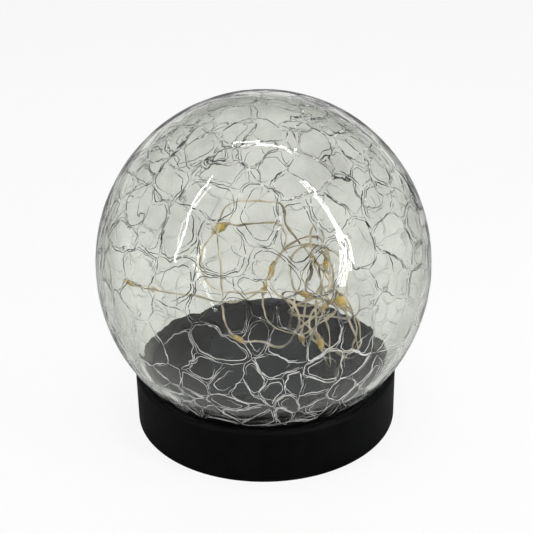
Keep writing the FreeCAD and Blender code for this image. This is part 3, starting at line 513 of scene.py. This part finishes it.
def strayed(spot):
    """A point of a crack moved off its course, the same way for all cracks that pass there."""
    for scale, reach in BENDS:
        shift = noise.noise_vector(spot * scale)
        spot = (spot + shift * reach).normalized()
    return spot


def on_glass(spot):
    """The place on the globe's outside for a spot on a globe of radius 1."""
    return Vector((spot.x * GLOBE_RADIUS, spot.y * GLOBE_RADIUS, GLOBE_CENTRE + spot.z * GLOBE_HALF))


# How far in from the round shape the outside lies: at rest, at the most, and for the swells.
REST_INSET = 0.12 * MM
MOST_INSET = 0.75 * MM
WAVE_REACH = 0.18 * MM
# The swells, long and short: how close together, and how strong. The short ones come from another place
# in the noise.
LONG_SWELL = (42, 0.42)
SHORT_SWELL = (118, 0.36)
SHORT_SHIFT = Vector((7, 3, 1))
# How much a cell leans, and where its lean fades out towards its edge. The groove along that edge.
CELL_TILT = 0.008
TILT_FADE = 2.5 * MM
GROOVE_DEPTH = 0.045 * MM
GROOVE_WIDTH = 1.1 * MM


def waviness(point):
    """Long and short swells of the glass, 0 to 1."""
    long_swell = noise.noise(point * LONG_SWELL[0])
    short_swell = noise.noise(point * SHORT_SWELL[0] + SHORT_SHIFT)
    return min(1, max(0, 0.5 + LONG_SWELL[1] * long_swell + SHORT_SWELL[1] * short_swell))


def make_relief(centres):
    """A function for how far in from the round shape the glass's outside lies at spots on it.

    Each cell between the cracks leans a little its own way, and the glass dips along the cracks."""
    sites = np.array([tuple(centre) for centre in centres])
    draw = random.Random(3)
    leans = np.array([[draw.uniform(-1, 1) for axis in range(3)] for centre in centres]) * CELL_TILT

    def relief(spots):
        # Back along the cracks' bends, in two rounds, to the spots that stray to these.
        courses = []
        for spot in spots:
            guess = spot
            for _ in range(2):
                guess = (guess + spot - strayed(guess)).normalized()
            courses.append(tuple(guess))
        places = np.array(courses)
        near = places @ sites.T
        rows = np.arange(len(places))
        first = near.argmax(axis=1)
        best = near[rows, first]
        # The nearest centre is ruled out, and the next one found.
        near[rows, first] = -2
        second = near.argmax(axis=1)
        gap = np.linalg.norm(sites[first] - sites[second], axis=1)
        edge = (best - near[rows, second]) / gap * GLOBE_RADIUS
        groove = GROOVE_DEPTH * np.exp(-(edge / GROOVE_WIDTH) ** 2)
        lean = ((places - sites[first]) * leans[first]).sum(axis=1) * GLOBE_RADIUS
        swell = np.array([waviness(on_glass(spot)) for spot in spots]) * WAVE_REACH
        inset = REST_INSET + swell + groove + lean * np.minimum(1, edge / TILT_FADE)
        return np.clip(inset, 0, MOST_INSET)

    return relief


# ---- glass globe --------------------

# The mesh's columns, and its rows from the top to the mouth, outside and inside.
GLASS_TURNS = 360
OUTER_ROWS = 150
INNER_ROWS = 90
# The inside swells by this much, with swells of its own from deeper in the globe.
INNER_REACH = 0.2 * MM
INNER_SHIFT = 8 * MM
# Over this angle the swells fade out towards the mouth, in radians.
MOUTH_FADE = 0.14


def globe_point(turn, drop, inset):
    """A point on the globe: turn round the axis, drop from the top, inset from the outside."""
    return Vector(((GLOBE_RADIUS - inset) * math.sin(drop) * math.cos(turn),
                   (GLOBE_RADIUS - inset) * math.sin(drop) * math.sin(turn),
                   GLOBE_CENTRE + (GLOBE_HALF - inset) * math.cos(drop)))


def mouth_drop(inset):
    """How far from the top the mouth is, as an angle, on the globe with that inset."""
    return math.acos((CUT - GLOBE_CENTRE) / (GLOBE_HALF - inset))


def make_glass(relief):
    """The globe's wall as one closed skin, outside and inside uneven, with an open mouth."""
    verts = [globe_point(0, 0, REST_INSET)]
    rows = []
    turns = [2 * math.pi * step / GLASS_TURNS for step in range(GLASS_TURNS)]
    for count, wall in ((OUTER_ROWS, 0), (INNER_ROWS, WALL)):
        low = mouth_drop(wall)
        drops = [low * (row + 1) / count for row in range(count)]
        for drop in drops if wall == 0 else reversed(drops):
            settled = min(1, (low - drop) / MOUTH_FADE)
            if wall == 0:
                spots = [Vector((math.sin(drop) * math.cos(turn), math.sin(drop) * math.sin(turn),
                                 math.cos(drop))) for turn in turns]
                insets = [float(inset) * settled for inset in relief(spots)]
            else:
                insets = [WALL - INNER_REACH * settled * waviness(globe_point(turn, drop, INNER_SHIFT))
                          for turn in turns]
            rows.append(list(range(len(verts), len(verts) + GLASS_TURNS)))
            verts += [globe_point(turn, drop, inset) for turn, inset in zip(turns, insets)]
    verts.append(globe_point(0, 0, WALL))
    faces = []
    for step in range(GLASS_TURNS):
        after = (step + 1) % GLASS_TURNS
        faces.append((0, rows[0][step], rows[0][after]))
        for above, below in zip(rows, rows[1:]):
            faces.append((above[step], below[step], below[after], above[after]))
        faces.append((rows[-1][step], len(verts) - 1, rows[-1][after]))
    return link("crackle_globe", mesh_of("crackle_globe", verts, faces))


# ---- cracks --------------------

# The lowest place of a crack, the step along its course, and how deep under the outside it starts.
LOWEST_CRACK = 21.6 * MM
CRACK_STEP = 0.68 * MM
CRACK_COVER = 0.14 * MM
# Below this height the cracks are a little narrower.
LOW_LINES = 46 * MM
LOW_LINES_WIDTH = 0.95
# A crack's lean in radians, and the mean and swing of its width and depth as shares.
LEAN_SWING = 0.75
WIDTH_MEAN = 0.85
WIDTH_SWING = 0.4
DEPTH_MEAN = 0.8
DEPTH_SWING = 0.5
# How quickly these vary from step to step, and the place of each in the noise. The cracks lie there at
# equal steps.
LEAN_VARIES = (0.09, 0)
WIDTH_VARIES = (0.23, 4)
DEPTH_VARIES = (0.17, 9)
SEED_STEP = 3.7
# At its ends a crack has this share of its width and depth, and six steps add one whole share.
TAPER_LEAST = 0.25
TAPER_STEPS = 6
# Half the width of a crack's foot, as a share of its width at the top.
FOOT_WIDTH = 0.3
# A crack needs so many spots, or it is left out.
FEWEST_SPOTS = 4
# Kinds of cracks: between which widths and which depths, in mm.
WALL_CRACK = ((0.2, 0.42), (0.3, 0.7))
TWIN_CRACK = ((0.09, 0.18), (0.15, 0.4))
SPUR_CRACK = ((0.1, 0.22), (0.15, 0.5))
RING_CRACK = ((0.16, 0.32), (0.2, 0.55))
# The share of walls with a twin, in the low rows and above, and with a spur. Both need a wall of more than
# LONG_WALL spots.
LOW_TWINS = 0.7
HIGH_TWINS = 0.35
SPURS = 0.3
LONG_WALL = 12
# How far beside its wall a twin runs, and the fewest spots it gets. A spur's distance from its wall's ends
# in spots, its swing off the wall, its length and its bow. Lengths are for a globe of radius 1.
TWIN_ASIDE = (0.008, 0.02)
TWIN_SHORTEST = 8
SPUR_CLEAR = 3
SPUR_SWING = (0.5, 1.2)
SPUR_REACH = (0.05, 0.14)
SPUR_BOW = 0.012
# Cells left bare, as a share. Rings in a cell, outer and inner: their sizes as shares of the cell's, the
# share of inner ones left out in the low rows and above, and how much of a ring is drawn.
BARE_CELLS = 0.2
OUTER_RING = (0.86, 0.96)
INNER_RING = (0.62, 0.84)
LOW_LEFT_OUT = 0.3
HIGH_LEFT_OUT = 0.65
RING_PART = (0.35, 0.95)
CORNER_ROUNDS = 2


def order_of(spot):
    """A key that sorts places the same way on every run."""
    return (round(spot.x, 5), round(spot.y, 5), round(spot.z, 5))


def outward(face):
    """A hull face's normal, pointing away from the globe's centre."""
    return face.normal * (1 if face.normal.dot(face.calc_center_median()) > 0 else -1)


def cell_corners(centres):
    """The walls between cells and each cell's ring of corners, always in the same order.

    In the hull of the centres each triangle is a corner where three cells meet."""
    hull = bmesh.new()
    for centre in centres:
        hull.verts.new(centre)
    bmesh.ops.convex_hull(hull, input=hull.verts[:])
    hull.normal_update()
    hull.faces.index_update()
    corners = [outward(face) for face in hull.faces]
    walls = []
    for edge in hull.edges:
        if len(edge.link_faces) == 2:
            walls.append(sorted((corners[face.index] for face in edge.link_faces), key=order_of))
    walls.sort(key=lambda wall: order_of(wall[0] + wall[1]))
    cells = []
    for vert in sorted(hull.verts, key=lambda vert: order_of(vert.co)):
        ring = [corners[face.index] for face in vert.link_faces]
        middle = vert.co.normalized()
        side = middle.orthogonal().normalized()
        other = middle.cross(side)
        ring.sort(key=lambda corner: math.atan2(corner.dot(other), corner.dot(side)))
        cells.append((middle, ring))
    hull.free()
    return walls, cells


def course(spots, closed=False):
    """Spots in steps of CRACK_STEP along straight runs between the given ones."""
    found = []
    ring = spots + [spots[0]] if closed else spots
    for first, second in zip(ring, ring[1:]):
        steps = max(1, int((second - first).length * GLOBE_RADIUS / CRACK_STEP))
        found += [first.lerp(second, step / steps).normalized() for step in range(steps)]
    return found + [ring[-1].normalized()]


def cut_corners(ring, rounds):
    """A closed ring with its corners cut off at a quarter of each side, so many times over."""
    for _ in range(rounds):
        cut = []
        for i, spot in enumerate(ring):
            after = ring[(i + 1) % len(ring)]
            cut += [spot.lerp(after, 0.25), spot.lerp(after, 0.75)]
        ring = cut
    return ring


def varied(seed, step, varies):
    """A value of about -1 to 1 that changes smoothly from step to step."""
    rate, place = varies
    return noise.noise(Vector((seed, step * rate, place)))


def blade(verts, faces, relief, spots, width, depth, seed):
    """A thin closed sheet that follows the spots down into the glass, leaning this way and that."""
    spots = [spot for spot in spots if on_glass(spot).z > LOWEST_CRACK]
    if len(spots) < FEWEST_SPOTS:
        return
    rings = []
    last = len(spots) - 1
    insets = relief(spots)
    for i, spot in enumerate(spots):
        place = on_glass(spot)
        normal = Vector((spot.x / GLOBE_RADIUS, spot.y / GLOBE_RADIUS, spot.z / GLOBE_HALF)).normalized()
        along = (on_glass(spots[min(i + 1, last)]) - on_glass(spots[max(i - 1, 0)])).normalized()
        side = normal.cross(along).normalized()
        lean = LEAN_SWING * varied(seed, i, LEAN_VARIES)
        into = (-normal * math.cos(lean) + side * math.sin(lean))
        across = along.cross(into)
        taper = min(1, TAPER_LEAST + i / TAPER_STEPS, TAPER_LEAST + (last - i) / TAPER_STEPS)
        wide = width * taper * (WIDTH_MEAN + WIDTH_SWING * varied(seed, i, WIDTH_VARIES))
        if place.z < LOW_LINES:
            wide *= LOW_LINES_WIDTH
        deep = depth * taper * (DEPTH_MEAN + DEPTH_SWING * varied(seed, i, DEPTH_VARIES))
        top = place - normal * (float(insets[i]) + CRACK_COVER)
        foot = top + into * deep
        rings.append([top - across * wide / 2, top + across * wide / 2,
                      foot + across * wide * FOOT_WIDTH, foot - across * wide * FOOT_WIDTH])
    sweep(verts, faces, rings)


def sized(spots, kind):
    """A crack along the spots, as wide and as deep as chance draws it for its kind."""
    widths, depths = kind
    width = chance.uniform(*widths) * MM
    depth = chance.uniform(*depths) * MM
    return spots, width, depth


def twin_of(spots):
    """A stretch of a line close beside the spots."""
    aside = chance.choice((-1, 1)) * chance.uniform(*TWIN_ASIDE)
    start = chance.randrange(len(spots) // 2)
    reach = chance.randrange(TWIN_SHORTEST, len(spots))
    beside = [(spot + spot.cross(after - spot).normalized() * aside).normalized()
              for spot, after in zip(spots, spots[1:])]
    return beside[start:start + reach]


def spur_of(spots):
    """A short branch off the spots."""
    start = chance.randrange(SPUR_CLEAR, len(spots) - SPUR_CLEAR - 1)
    root = spots[start]
    turn = (spots[start + 1] - spots[start - 1]).normalized()
    swing = chance.choice((-1, 1)) * chance.uniform(*SPUR_SWING)
    heading = (turn * math.cos(swing) + root.cross(turn) * math.sin(swing))
    reach = chance.uniform(*SPUR_REACH)
    middle = root + heading * reach * 0.5 + root.cross(heading) * SPUR_BOW
    branch = [strayed(spot) for spot in course([root, middle, root + heading * reach])]
    shift = root - branch[0]
    return [(spot + shift).normalized() for spot in branch]


def rings_in(middle, ring):
    """Parts of up to two rounded rings inside a cell."""
    left_out = LOW_LEFT_OUT if middle.z < LOW_ROWS_TOP else HIGH_LEFT_OUT
    found = []
    for shrink in (chance.uniform(*OUTER_RING), chance.uniform(*INNER_RING)):
        if shrink < OUTER_RING[0] and chance.random() < left_out:
            continue
        inner = cut_corners([middle.lerp(corner, shrink) for corner in ring], CORNER_ROUNDS)
        spots = [strayed(spot) for spot in course(inner, True)]
        start = chance.randrange(len(spots))
        part = int(len(spots) * chance.uniform(*RING_PART))
        found.append(sized((spots + spots)[start:start + part], RING_CRACK))
    return found


def make_cracks(centres, relief):
    """Broken faces in the glass: along the walls between cells, beside them, off them and in the cells."""
    walls, cells = cell_corners(centres)
    found = []
    for first, second in walls:
        spots = [strayed(spot) for spot in course([first, second])]
        found.append(sized(spots, WALL_CRACK))
        twins = LOW_TWINS if first.z < LOW_ROWS_TOP else HIGH_TWINS
        if chance.random() < twins and len(spots) > LONG_WALL:
            found.append(sized(twin_of(spots), TWIN_CRACK))
        if chance.random() < SPURS and len(spots) > LONG_WALL:
            found.append(sized(spur_of(spots), SPUR_CRACK))
    for middle, ring in cells:
        if len(ring) >= 3 and chance.random() >= BARE_CELLS:
            found += rings_in(middle, ring)
    verts, faces = [], []
    for number, (spots, width, depth) in enumerate(found):
        blade(verts, faces, relief, spots, width, depth, (number + 1) * SEED_STEP)
    return link("glass_cracks", mesh_of("glass_cracks", verts, faces, faceted=True))


# ---- materials of the pieces --------------------

# The glass's colour, from where it is seen straight on to where it is seen edge on: its own faint green
# tint, and towards edge on a darkening that is partly that tint through more glass and partly painted shade
# for dark surroundings.
GLASS_TINTS_AND_EDGE_SHADE = [(0.0, (0.87, 0.88, 0.84)), (0.5, (0.85, 0.865, 0.82)), (0.8, (0.62, 0.64, 0.6)),
               (1.0, (0.3, 0.33, 0.3))]
GLASS_IOR = 1.42
GLASS_SHADOW = (0.86, 0.87, 0.86)
# The cracks' colours, all painted light and shade: by how strongly a place has a painted glint, low on the
# globe (mostly bright painted light) and high (near black painted shade with painted sparks), and the
# heights between which the one gives way to the other. Faces that look up get a little more painted glint,
# as if lit from above.
LOW_PAINTED_LIGHT_AND_GLINTS = [(0.28, grey(0.12)), (0.4, grey(0.85)), (0.48, grey(1.0))]
HIGH_PAINTED_SHADE_AND_GLINTS = [(0.3, grey(0.006)), (0.53, grey(0.02)), (0.61, grey(0.16)), (0.66, grey(1.0))]
PAINTED_LIGHT_UP_TO = 54 * MM
PAINTED_SHADE_FROM = 74 * MM
PAINTED_GLINT_UPWARDS = 0.08


def glass_material():
    """Clear glass with a faint green edge, darkened edge on partly by painted shade; shadows pass through
    it.
    """
    material, tree, links = new_material("crackle_glass")
    shader = tree.new("ShaderNodeBsdfPrincipled")
    shader.inputs["Transmission Weight"].default_value = 1
    shader.inputs["IOR"].default_value = GLASS_IOR
    edge = tree.new("ShaderNodeLayerWeight")
    edge.inputs["Blend"].default_value = 0.5
    veil = object_noise(tree, links, scale=70, detail=4)
    mix = tree.new("ShaderNodeMix")
    mix.data_type = "RGBA"
    mix.blend_type = "MULTIPLY"
    mix.inputs["Factor"].default_value = 1
    # Colour by facing: the green tint, with painted shade towards the edge.
    links.new(ramp(tree, links, edge.outputs["Facing"], GLASS_TINTS_AND_EDGE_SHADE), mix.inputs["A"])
    links.new(ramp(tree, links, veil.outputs["Fac"], [(0.35, grey(0.88)), (0.6, grey(1.0))]),
              mix.inputs["B"])
    links.new(mix.outputs["Result"], shader.inputs["Base Color"])
    smear = object_noise(tree, links, scale=160, detail=3)
    links.new(ramp(tree, links, smear.outputs["Fac"], [(0.5, grey(0.0)), (0.85, grey(0.03))]),
              shader.inputs["Roughness"])
    grain = object_noise(tree, links, scale=150, detail=2)
    roughen(tree, links, shader, grain.outputs["Fac"], strength=0.16, reach=0.2 * MM)
    clear = tree.new("ShaderNodeBsdfTransparent")
    clear.inputs["Color"].default_value = GLASS_SHADOW + (1,)
    path = tree.new("ShaderNodeLightPath")
    mix_out(tree, links, "ShaderNodeOutputMaterial", path.outputs["Is Shadow Ray"], shader, clear)
    return material


def crack_material():
    """Broken faces in the glass, coloured with painted light and shade: painted shade with painted glints
    high up, mostly bright painted light low down.
    """
    material, tree, links, shader = shaded("crack_faces")
    # Painted glints: bright sparks from noise, not from any lamp.
    painted_sparks = object_noise(tree, links, scale=480, detail=3, roughness=0.7)
    facing = placed(tree, links, "ShaderNodeSeparateXYZ", "Normal")
    # Faces that look up get more painted glint, as if lit from above.
    painted_glint = tree.new("ShaderNodeMath")
    painted_glint.operation = "MULTIPLY_ADD"
    painted_glint.inputs[1].default_value = PAINTED_GLINT_UPWARDS
    links.new(facing.outputs["Z"], painted_glint.inputs[0])
    links.new(painted_sparks.outputs["Fac"], painted_glint.inputs[2])
    split = placed(tree, links, "ShaderNodeSeparateXYZ")
    height = tree.new("ShaderNodeMapRange")
    height.inputs["From Min"].default_value = PAINTED_LIGHT_UP_TO
    height.inputs["From Max"].default_value = PAINTED_SHADE_FROM
    links.new(split.outputs["Z"], height.inputs["Value"])
    # Painted light low on the globe and painted shade high up, blended by height into the base colour.
    low = ramp(tree, links, painted_glint.outputs["Value"], LOW_PAINTED_LIGHT_AND_GLINTS)
    high = ramp(tree, links, painted_glint.outputs["Value"], HIGH_PAINTED_SHADE_AND_GLINTS)
    links.new(mixed(tree, links, height.outputs["Result"], low, high), shader.inputs["Base Color"])
    shader.inputs["Specular IOR Level"].default_value = 0.5
    shader.inputs["Roughness"].default_value = 0.18
    return material


def bead_material():
    """Clear resin, a little yellow and cloudy."""
    material, tree, links, shader = shaded("bead_resin")
    cloud = object_noise(tree, links, scale=500, detail=3)
    stops = [(0.35, (0.92, 0.84, 0.5)), (0.65, (0.98, 0.93, 0.68))]
    links.new(ramp(tree, links, cloud.outputs["Fac"], stops), shader.inputs["Base Color"])
    shader.inputs["Transmission Weight"].default_value = 0.88
    shader.inputs["IOR"].default_value = 1.48
    shader.inputs["Roughness"].default_value = 0.08
    roughen(tree, links, shader, cloud.outputs["Fac"], strength=0.3, reach=0.1 * MM)
    return material


def recolour(material, share, colour):
    """Lays another colour over a material made by surface, at a share of 0 to 1."""
    tree, links = material.node_tree.nodes, material.node_tree.links
    base_input = next(node for node in tree if node.type == "BSDF_PRINCIPLED").inputs["Base Color"]
    links.new(mixed(tree, links, share, base_input.links[0].from_socket, colour), base_input)


def band(material, axis, scale, low, high, colour):
    """Adds fine lines of another colour across one axis."""
    tree, links = material.node_tree.nodes, material.node_tree.links
    lines = placed(tree, links, "ShaderNodeTexWave")
    lines.wave_type = "BANDS"
    lines.bands_direction = axis
    lines.inputs["Scale"].default_value = scale
    share = ramp(tree, links, lines.outputs["Fac"], [(low, grey(0.0)), (high, grey(1.0))])
    recolour(material, share, colour)


def add_tracks(material):
    """Adds copper tracks under the mask of a circuit board."""
    tree, links = material.node_tree.nodes, material.node_tree.links
    tiles = placed(tree, links, "ShaderNodeTexBrick")
    tiles.inputs["Scale"].default_value = 260
    tiles.inputs["Mortar Size"].default_value = 0.06
    tiles.inputs["Color1"].default_value = (0, 0, 0, 1)
    tiles.inputs["Color2"].default_value = (0.2, 0.2, 0.2, 1)
    tiles.inputs["Mortar"].default_value = (1, 1, 1, 1)
    recolour(material, tiles.outputs["Color"], (0.08, 0.32, 0.12))


# What surface is told for each slot.
SURFACES = {
    "black_plastic": dict(
        dark=(0.0012, 0.0013, 0.0015), light=(0.0032, 0.0034, 0.0038), scale=180,
        roughness=0.5, bump=0.25, bump_scale=3200, specular=0.07),
    "deck_plastic": dict(
        dark=(0.004, 0.0043, 0.0048), light=(0.009, 0.0095, 0.0105), scale=140,
        roughness=0.32, bump=0.05, bump_scale=700, specular=0.12),
    "soft_rubber": dict(
        dark=grey(0.012), light=grey(0.024), scale=300,
        roughness=0.7, bump=0.3, bump_scale=3000, specular=0.3),
    "board_green": dict(
        dark=(0.012, 0.1, 0.035), light=(0.02, 0.16, 0.06), scale=220, roughness=0.35, bump=0.2),
    "panel_board": dict(
        dark=(0.012, 0.014, 0.017), light=(0.022, 0.025, 0.03), scale=200,
        roughness=0.45, bump=0.06, bump_scale=900),
    "solar_cell": dict(
        dark=(0.012, 0.016, 0.022), light=(0.03, 0.036, 0.046), scale=160, roughness=0.22, bump=0.1),
    "clear_resin": dict(
        dark=(0.008, 0.01, 0.013), light=(0.015, 0.018, 0.023), scale=40,
        roughness=0.3, bump=0.02, bump_scale=120, specular=0.12, spread=0.06),
    "chip_black": dict(
        dark=grey(0.012), light=grey(0.026), scale=900, roughness=0.5, bump=0.3),
    "coil_copper": dict(
        dark=(0.42, 0.17, 0.06), light=(0.62, 0.3, 0.13), scale=800,
        roughness=0.3, metallic=0.9, bump=0.2),
    "can_aluminium": dict(
        dark=grey(0.5), light=grey(0.68), scale=1200, roughness=0.3, metallic=1.0, bump=0.15),
    "screw_steel": dict(
        dark=grey(0.42), light=grey(0.6), scale=900, roughness=0.32, metallic=1.0, bump=0.2),
    "switch_metal": dict(
        dark=grey(0.45), light=grey(0.62), scale=600, roughness=0.3, metallic=1.0, bump=0.15),
    "lever_white": dict(
        dark=(0.66, 0.66, 0.63), light=(0.78, 0.78, 0.75), scale=700, roughness=0.45, bump=0.2),
    "battery_wrap": dict(
        dark=(0.03, 0.14, 0.07), light=(0.05, 0.2, 0.1), scale=260, roughness=0.3, bump=0.1, coat=0.4),
    "contact_nickel": dict(
        dark=(0.6, 0.59, 0.55), light=(0.75, 0.73, 0.69), scale=500,
        roughness=0.2, metallic=1.0, bump=0.1),
    "lead_insulation": dict(
        dark=(0.2, 0.012, 0.01), light=(0.32, 0.022, 0.018), scale=900, roughness=0.4, bump=0.2),
    "string_copper": dict(
        dark=(0.44, 0.38, 0.27), light=(0.88, 0.81, 0.66), scale=260,
        roughness=0.33, metallic=0.85, bump=0.04, bump_scale=1500),
    "led_phosphor": dict(
        dark=(0.92, 0.58, 0.02), light=(1.0, 0.74, 0.06), scale=900, roughness=0.5, bump=0.3),
    "silicone": dict(
        dark=grey(0.014), light=grey(0.03), scale=350, roughness=0.35, bump=0.3, bump_scale=900),
}
# Fine lines: their axis and scale, between which strengths they fade in, and their colour.
BANDS = {
    "solar_cell": ("Y", 120, 0.93, 0.97, (0.32, 0.33, 0.34)),
    "clear_resin": ("Y", 120, 0.93, 0.97, (0.035, 0.04, 0.045)),
    "coil_copper": ("Z", 900, 0.3, 0.6, (0.16, 0.06, 0.02)),
    "battery_wrap": ("Y", 11, 0.86, 0.88, (0.5, 0.52, 0.5)),
}
SLOT_NODES = {
    "black_plastic": ("base_housing", "bottom_cover", "battery_door"),
    "deck_plastic": ("top_deck", "neck_collar", "battery_tray"),
    "soft_rubber": ("wire_grommet", "seal_ring"),
    "board_green": ("circuit_board",),
    "panel_board": ("solar_substrate",),
    "solar_cell": ("solar_cells",),
    "clear_resin": ("solar_cover",),
    "chip_black": ("controller_chip",),
    "coil_copper": ("inductor",),
    "can_aluminium": ("capacitor",),
    "screw_steel": ("board_screws", "cover_screws", "door_screw"),
    "switch_metal": ("switch_body",),
    "lever_white": ("switch_lever",),
    "battery_wrap": ("battery",),
    "contact_nickel": ("positive_contact", "negative_contact", "contact_spring"),
    "lead_insulation": ("battery_leads", "solar_leads"),
    "string_copper": ("string_inner_lead", "light_string_lead_in", "light_string_loops", "light_string_run"),
    "bead_resin": ("led_beads",),
    "led_phosphor": ("led_chips",),
    "crackle_glass": ("glass_globe",),
    "silicone": ("globe_adhesive",),
}


def dress_all():
    """Makes each slot's material and gives it to the slot's CAD nodes."""
    made = {slot: surface(slot, **recipe) for slot, recipe in SURFACES.items()}
    made["bead_resin"] = bead_material()
    made["crackle_glass"] = glass_material()
    for slot, lines in BANDS.items():
        band(made[slot], *lines)
    add_tracks(made["board_green"])
    for slot, names in SLOT_NODES.items():
        for name in names:
            dress(name, made[slot])
    return made


# ---- floor, world and lamps --------------------

FLOOR_REACH = 6.0
# How much of the floor is its own glow where the camera sees it, also through the glass. Other rays meet a
# greyer floor that doesn't glow.
FLOOR_GLOW = 0.86
WORLD_SEEN = 0.965
# The world that lights the scene, from the horizon to the zenith.
SKY = [(0.0, grey(1.0)), (0.14, grey(0.85)), (0.3, grey(0.32)), (0.55, grey(0.3)), (0.8, grey(0.5)),
       (1.0, grey(0.8))]
# Lamps: their two ends, width and power.
STRIPS = {
    "left_strip": ((-0.50, -0.29, 0.20), (-0.30, -0.07, 0.62), 0.014, 0.7),
    "right_strip": ((0.49, -0.32, 0.15), (0.24, -0.12, 0.62), 0.02, 1.0),
    "right_low": ((0.46, -0.41, 0.09), (0.50, -0.33, 0.26), 0.06, 0.45),
    "top_strip": ((-0.17, 0.15, 0.66), (0.20, 0.10, 0.66), 0.015, 0.6),
}


def make_floor():
    """A plain pale floor that keeps the shadow."""
    mesh = bpy.data.meshes.new("floor")
    corners = [(x * FLOOR_REACH, y * FLOOR_REACH, 0) for x, y in ((-1, -1), (1, -1), (1, 1), (-1, 1))]
    mesh.from_pydata(corners, [], [(0, 1, 2, 3)])
    floor = link("floor", mesh)
    material, tree, links = new_material("paper")
    paper = tree.new("ShaderNodeBsdfDiffuse")
    grain = object_noise(tree, links, scale=30, detail=3)
    plain = ramp(tree, links, grain.outputs["Fac"], [(0.3, grey(0.38)), (0.7, grey(0.42))])
    bright = ramp(tree, links, grain.outputs["Fac"], [(0.3, grey(0.88)), (0.7, grey(0.92))])
    glow = tree.new("ShaderNodeEmission")
    path = tree.new("ShaderNodeLightPath")
    seen = tree.new("ShaderNodeMath")
    seen.operation = "MAXIMUM"
    links.new(path.outputs["Is Camera Ray"], seen.inputs[0])
    links.new(path.outputs["Is Transmission Ray"], seen.inputs[1])
    share = tree.new("ShaderNodeMath")
    share.operation = "MULTIPLY"
    share.inputs[1].default_value = FLOOR_GLOW
    links.new(seen.outputs["Value"], share.inputs[0])
    links.new(mixed(tree, links, seen.outputs["Value"], plain, bright), paper.inputs["Color"])
    mix_out(tree, links, "ShaderNodeOutputMaterial", share.outputs["Value"], paper, glow)
    mesh.materials.append(material)


def make_world():
    """Soft light from the horizon and above; the camera sees near white instead."""
    world = bpy.data.worlds.new("studio")
    bpy.context.scene.world = world
    world.use_nodes = True
    tree, links = world.node_tree.nodes, world.node_tree.links
    tree.clear()
    split = placed(tree, links, "ShaderNodeSeparateXYZ", "Generated")
    studio = tree.new("ShaderNodeBackground")
    links.new(ramp(tree, links, split.outputs["Z"], SKY), studio.inputs["Color"])
    white = tree.new("ShaderNodeBackground")
    white.inputs["Color"].default_value = grey(WORLD_SEEN) + (1,)
    path = tree.new("ShaderNodeLightPath")
    mix_out(tree, links, "ShaderNodeOutputWorld", path.outputs["Is Camera Ray"], studio, white)


def make_strip(name, first, second, width, watts):
    """A long narrow lamp between two places, turned to the globe."""
    data = bpy.data.lights.new(name, "AREA")
    data.shape = "RECTANGLE"
    first, second = Vector(first), Vector(second)
    middle = (first + second) / 2
    length = (second - first).length
    data.size, data.size_y = width, length
    data.energy = watts
    lamp = link(name, data)
    back = (middle - Vector((0, 0, GLOBE_CENTRE))).normalized()
    up = (second - first).normalized()
    side = up.cross(back).normalized()
    back = side.cross(up)
    turn = Matrix((side, up, back)).transposed().to_4x4()
    lamp.matrix_world = Matrix.Translation(middle) @ turn


# ---- scene --------------------

make_camera()
make_floor()
make_world()
for name, strip in STRIPS.items():
    make_strip(name, *strip)
bpy.context.scene.view_settings.view_transform = "Standard"
materials = dress_all()

route = spline_line("string_route", string_points(), ROUTE_RESOLUTION)
string_line, string_length = even(route, ROUTE_STEP)
light_string = make_string(string_line, string_length)
beads, bead_chips = make_beads(string_line, string_length)
for item in (light_string, beads, bead_chips):
    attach(item, "base")
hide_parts("light_string_lead_in", "light_string_loops", "light_string_run")
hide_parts("led_beads")
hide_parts("led_chips")
light_string.data.materials.append(materials["string_copper"])
beads.data.materials.append(materials["bead_resin"])
bead_chips.data.materials.append(materials["led_phosphor"])

centres = cell_centres()
relief = make_relief(centres)
globe = make_glass(relief)
cracks = make_cracks(centres, relief)
globe.data.materials.append(materials["crackle_glass"])
cracks.data.materials.append(crack_material())
for item in (globe, cracks):
    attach(item, "globe")
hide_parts("glass_globe")
